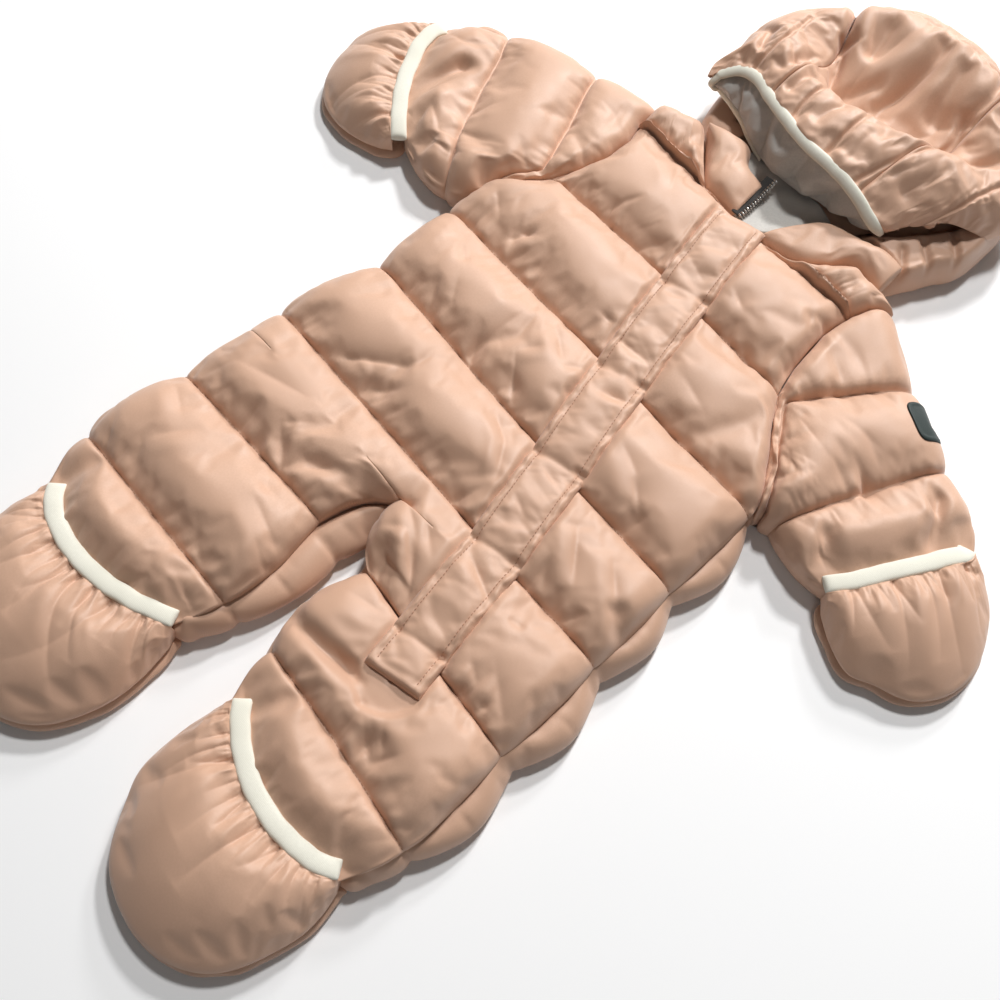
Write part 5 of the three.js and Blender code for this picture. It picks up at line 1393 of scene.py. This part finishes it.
def hood_facing():
    """The fleece that hangs from the brim to the lower lip, in soft leaning folds."""
    count, rows = 92, 16
    brim = hood_grid(0.15, 9.7, count)[:, 0]
    lip = curve(FACING_LIP, count + 1)
    t = np.linspace(0, 1, count + 1)[:, None]
    v = np.linspace(0, 1, rows + 1)[None]
    top = brim + np.array([0, 0.8, -5.0])
    grid = top[:, None] + (lip - top)[:, None] * v[..., None]
    swell = 9.5 * np.sin(np.pi * v) ** 0.8 * np.sin(np.pi * t).clip(0) ** 0.4
    for place, lean, depth, wide in FLEECE_FOLDS:
        valley = np.exp(-np.abs((t - place - lean * v) / wide) ** 1.3)
        swell = swell - depth * valley * np.sin(np.pi * v) ** 0.6
    grid[..., 1] -= swell
    grid[..., 2] -= 0.25 * swell
    n, m = grid.shape[:2]
    faces = grid_faces(n, m)
    obj = new_object("hood_facing_fleece", grid.reshape(-1, 3) * MM, faces)
    face_towards(obj, (0, -1, 0.5))
    settle(obj, boundary(faces, n * m), pressure=1.2, slack=0.05, cap=3.0, bending=1.5)
    subdivide(obj)
    thicken(obj, 1.6)
    finish_piece(obj, fleece, "fleece", "hood_facing")
    return obj


def neck_fleece():
    count, rows = 16, 18
    front_line, back_line = curve(NECK_FLEECE["front"], count + 1), curve(NECK_FLEECE["back"], count + 1)
    v = np.linspace(0, 1, rows + 1)[None, :, None]
    xy = front_line[:, None] + (back_line - front_line)[:, None] * v
    z = 27.5 - 8 * smooth(v[..., 0] * 1.6) + 1.6 * ripple(xy, 22, 41)
    grid = np.concatenate([xy, np.maximum(z, 18.5)[..., None]], axis=-1)
    faces = grid_faces(count + 1, rows + 1)
    obj = new_object("neck_fleece", grid.reshape(-1, 3) * MM, faces)
    face_towards(obj)
    subdivide(obj)
    thicken(obj, 1.6)
    finish_piece(obj, fleece, "fleece", "neck_lining")
    return obj


def collar(name, seed):
    sizes = COLLARS[name]
    rows = 16
    top, base = curve(sizes["top"], sizes["columns"] + 1), curve(sizes["base"], sizes["columns"] + 1)
    t = np.linspace(0, 1, sizes["columns"] + 1)[:, None]
    v = np.linspace(0, 1, rows + 1)[None]
    xy = top[:, None] + (base - top)[:, None] * v[..., None]
    ends = np.minimum(1, np.sin(np.pi * t) + 0.3) ** 0.5
    z = 27 + sizes["crown"] * ends * puff(v) + 0.8 * ripple(xy, 40, seed)
    grid = np.concatenate([xy, z[..., None]], axis=-1)
    faces = grid_faces(sizes["columns"] + 1, rows + 1)
    obj = new_object(name + "_cloth", grid.reshape(-1, 3) * MM, faces)
    face_towards(obj)
    edge = boundary(faces, grid.shape[0] * grid.shape[1])
    settle(obj, edge, pressure=1.2, slack=0.012, cap=3.0, bending=1.5)
    subdivide(obj)
    skirt(obj, [(0.3, 22), (0.8, FRONT_FLOOR + 0.2)])
    finish_piece(obj, shell, "shell", name)
    return obj


# The zip and the patch.
def zip_row():
    """The zip's tape, and the metal teeth clamped along its edge."""
    count = 18
    line = curve([(*p, 29.5) for p in ZIP_LINE], count)
    run = np.gradient(line, axis=0)
    side = np.cross(run, (0, 0, 1.0))
    side /= np.linalg.norm(side, axis=1, keepdims=True)
    frame_of = {"at": line, "side": side, "up": np.array([0, 0, 1.0])}
    section = [(-0.8, -0.6), (-0.8, 0.1), (2, 0.3), (5, 0.3), (8.0, 0.1), (8.0, -0.6), (4, -0.8)]
    obj = band("zip_tape_strip", frame_of, section, tape, "zip", ["zip_tape"])
    length = float(np.linalg.norm(np.diff(line, axis=0), axis=1).sum()) * MM
    teeth = bmesh.new()
    marks = along(line, np.linspace(0.02, 0.98, int(length / MM / 2.7)))
    for k, at in enumerate(marks):
        made = bmesh.ops.create_cube(teeth, size=1.0)["verts"]
        bmesh.ops.scale(teeth, vec=Vector((3.4 * MM, 1.45 * MM, 2.2 * MM)), verts=made)
        turn = Matrix.Rotation(math.radians(4 * (-1) ** k), 4, "Z")
        placed = Matrix.Translation(Vector(at + (0.4, 0, 0.6)) * MM)
        bmesh.ops.transform(teeth, matrix=placed @ turn, verts=made)
    bmesh.ops.bevel(teeth, geom=teeth.edges[:], offset=0.3 * MM, segments=2, affect="EDGES")
    mesh = bpy.data.meshes.new("zip_teeth")
    teeth.to_mesh(mesh)
    teeth.free()
    row = bpy.data.objects.new("zip_teeth", mesh)
    bpy.context.scene.collection.objects.link(row)
    finish_piece(row, metal, "zip")


def height_on(targets, xy):
    """The highest point of some pieces at each place in plan, in millimetres, and the slope there."""
    heights, slopes = np.full(len(xy), np.nan), np.zeros((len(xy), 3))
    for i, (x, y) in enumerate(np.asarray(xy, float)):
        for obj in targets:
            hit, point, normal, _ = obj.ray_cast((x * MM, y * MM, 0.2), (0, 0, -1))
            if hit and not point.z / MM < heights[i]:
                heights[i], slopes[i] = point.z / MM, normal
    return heights, slopes


def sleeve_patch(sleeve_obj):
    """A plain patch with a raised border, laid on the sleeve."""
    along_way = np.array(PATCH["along"])
    across_way = np.array([-along_way[1], along_way[0]])
    n, m = 33, 23
    u, v = np.meshgrid(np.linspace(-1, 1, n), np.linspace(-1, 1, m), indexing="ij")
    far = (np.abs(u) ** PATCH["roundness"] + np.abs(v) ** PATCH["roundness"]) ** (1 / PATCH["roundness"])
    square = np.maximum(np.abs(u), np.abs(v))
    shrink = np.where(square > 0, square / np.maximum(far, 1e-9), 1)
    long, wide = PATCH["half"]
    xy = np.array(PATCH["centre"]) + (u * shrink * long)[..., None] * along_way
    xy = xy + (v * shrink * wide)[..., None] * across_way
    heights, _ = height_on([sleeve_obj], xy.reshape(-1, 2))
    filled = np.where(np.isnan(heights), np.nanmin(heights), heights).reshape(n, m)
    from_edge = (1 - square) * wide
    z = filled + 0.5 + 0.9 * np.exp(-(((from_edge - 1.3) / 0.8) ** 2))
    grid = np.concatenate([xy, z[..., None]], axis=-1)
    faces = grid_faces(n, m)
    obj = new_object("patch_cloth_piece", grid.reshape(-1, 3) * MM, faces)
    face_towards(obj)
    thicken(obj, 0.8)
    finish_piece(obj, patch_cloth, "patch", "sleeve_patch")


# Stitches.
def stitches(name, lines, targets, pitch=3.0, length=2.2, radius=0.28, sink=0.05):
    """Rows of thread stitches laid on some pieces, as one mesh of small rounded rods."""
    verts, faces = [], []
    rings = ((-0.5, 0.45), (-0.3, 1.0), (0.3, 1.0), (0.5, 0.45))
    for line in lines:
        total = np.linalg.norm(np.diff(np.array(line, float), axis=0), axis=1).sum()
        count = max(2, int(total / pitch))
        marks = along(line, (np.arange(count) + 0.5) / count)
        heights, slopes = height_on(targets, marks)
        run = np.gradient(marks, axis=0)
        run /= np.linalg.norm(run, axis=1, keepdims=True)
        for mark, height, normal, way in zip(marks, heights, slopes, run):
            if np.isnan(height) or normal[2] < 0.2:
                continue
            forward = np.array([*way, 0.0])
            forward -= normal * (forward @ normal)
            forward /= np.linalg.norm(forward)
            aside = np.cross(normal, forward)
            centre = np.array([*mark, height]) + normal * (radius - sink)
            first = len(verts)
            for share, fat in rings:
                for k in range(6):
                    turn = math.tau * k / 6
                    ring = aside * math.cos(turn) + normal * math.sin(turn)
                    verts.append(centre + forward * share * length + ring * radius * fat)
            for r in range(3):
                for k in range(6):
                    a, b = first + r * 6 + k, first + r * 6 + (k + 1) % 6
                    faces.append((a, a + 6, b + 6, b))
            faces.append(tuple(first + k for k in range(6)))
            faces.append(tuple(first + 18 + k for k in reversed(range(6))))
    obj = bpy.data.objects.new(name, bpy.data.meshes.new(name))
    bpy.context.scene.collection.objects.link(obj)
    obj.data.from_pydata([tuple(np.array(v) * MM) for v in verts], [], faces)
    obj.data.update()
    finish_piece(obj, thread, "shell")


right = front("front_right", FRONT_RIGHT, {"body": (52, 22), "leg": (52,), "crotch": (22,)}, 3)
left = front("front_left", FRONT_LEFT, {"body": (32,), "leg": (32, 22)}, 5)
sleeve("sleeve_right", SLEEVE_RIGHT, 7)
arm_left = sleeve("sleeve_left", SLEEVE_LEFT, 9)
back()
strip = placket()
for seed, name in enumerate(COVERS):
    cover(name, 50 + seed)
    elastic(name, 60 + seed)
    outline = COVERS[name]["rim"] + BACK_EDGES[name]
    low_pad(name + "_under", outline, COVERS[name]["sole"], [name + "_under"], seed=70 + seed)
for name in HOOD_PANELS:
    hood_panel(name, 80)
hood_under()
hood_rim()
hood_facing()
neck_fleece()
for seed, name in enumerate(COLLARS):
    collar(name, 90 + seed)
zip_row()
sleeve_patch(arm_left)

quilting = []
for blocks in (FRONT_RIGHT, FRONT_LEFT):
    for rows in blocks.values():
        quilting += [list(row[0]) for row in rows if row[1]]
stitches("quilt_stitches", quilting, [right, left])
topstitch = []
centre = along(CENTRE_FRONT, np.linspace(0.015, 0.985, 60))
run = np.gradient(centre, axis=0)
side = np.stack([run[:, 1], -run[:, 0]], axis=1) / np.linalg.norm(run, axis=1)[:, None]
for share in (-TOPSTITCH, TOPSTITCH):
    topstitch.append((centre + side * share * PLACKET_HALF).tolist())
stitches("placket_stitches", topstitch, [strip], pitch=2.8, length=2.0, radius=0.3)


# The floor, the light and the camera. Lights are a name, a place and a size in metres, and watts.
AREA_LIGHTS = [
    ("key_high", (-0.51, 1.52, 2.77), 0.35, 58),
    ("key_middle", (-0.80, 2.37, 1.97), 0.3, 70),
    ("key_low", (-0.87, 2.56, 1.40), 0.3, 26),
    ("fill", (1.9, -1.5, 2.3), 1.2, 6),
]
WORLD_STRENGTH = 0.07
FLOOR_TONE = 0.93
CAMERA_AT = (257.0, -287.8, 687.5)
LOOKS_AT = (34.6, -94.5, 0.0)
CAMERA_UP = (-0.6937, 0.6030, 0.3939)
LENS = 39.6


def camera():
    data = bpy.data.cameras.new("camera")
    data.lens, data.sensor_width = LENS, 36.0
    data.clip_start, data.clip_end = 0.01, 20
    cam = bpy.data.objects.new("camera", data)
    bpy.context.scene.collection.objects.link(cam)
    back = (Vector(CAMERA_AT) - Vector(LOOKS_AT)).normalized()
    right = Vector(CAMERA_UP).cross(back).normalized()
    up = back.cross(right)
    turn = Matrix((right, up, back)).transposed().to_4x4()
    cam.matrix_world = Matrix.Translation(Vector(CAMERA_AT) * MM) @ turn
    bpy.context.scene.camera = cam


def floor():
    obj = new_object("floor", [(-4, -4, 0), (4, -4, 0), (4, 4, 0), (-4, 4, 0)], [(0, 1, 2, 3)])
    m = bpy.data.materials.new("floor")
    m.use_nodes = True
    shader = m.node_tree.nodes["Principled BSDF"]
    shader.inputs["Base Color"].default_value = (FLOOR_TONE, FLOOR_TONE, FLOOR_TONE, 1)
    shader.inputs["Roughness"].default_value = 0.7
    obj.data.materials.append(m)


def area_light(name, at, size, power, colour=(1, 1, 1)):
    data = bpy.data.lights.new(name, "AREA")
    data.size, data.energy, data.color = size, power, colour
    obj = bpy.data.objects.new(name, data)
    bpy.context.scene.collection.objects.link(obj)
    obj.location = at
    obj.rotation_mode = "QUATERNION"
    obj.rotation_quaternion = (-Vector(at)).to_track_quat("-Z", "Y")


def lights():
    world = bpy.data.worlds.new("studio")
    bpy.context.scene.world = world
    world.use_nodes = True
    world.node_tree.nodes["Background"].inputs["Color"].default_value = (1, 1, 1, 1)
    world.node_tree.nodes["Background"].inputs["Strength"].default_value = WORLD_STRENGTH
    for name, at, size, power in AREA_LIGHTS:
        area_light(name, at, size, power)


camera()
floor()
lights()
view = bpy.context.scene.view_settings
view.view_transform = "Standard"
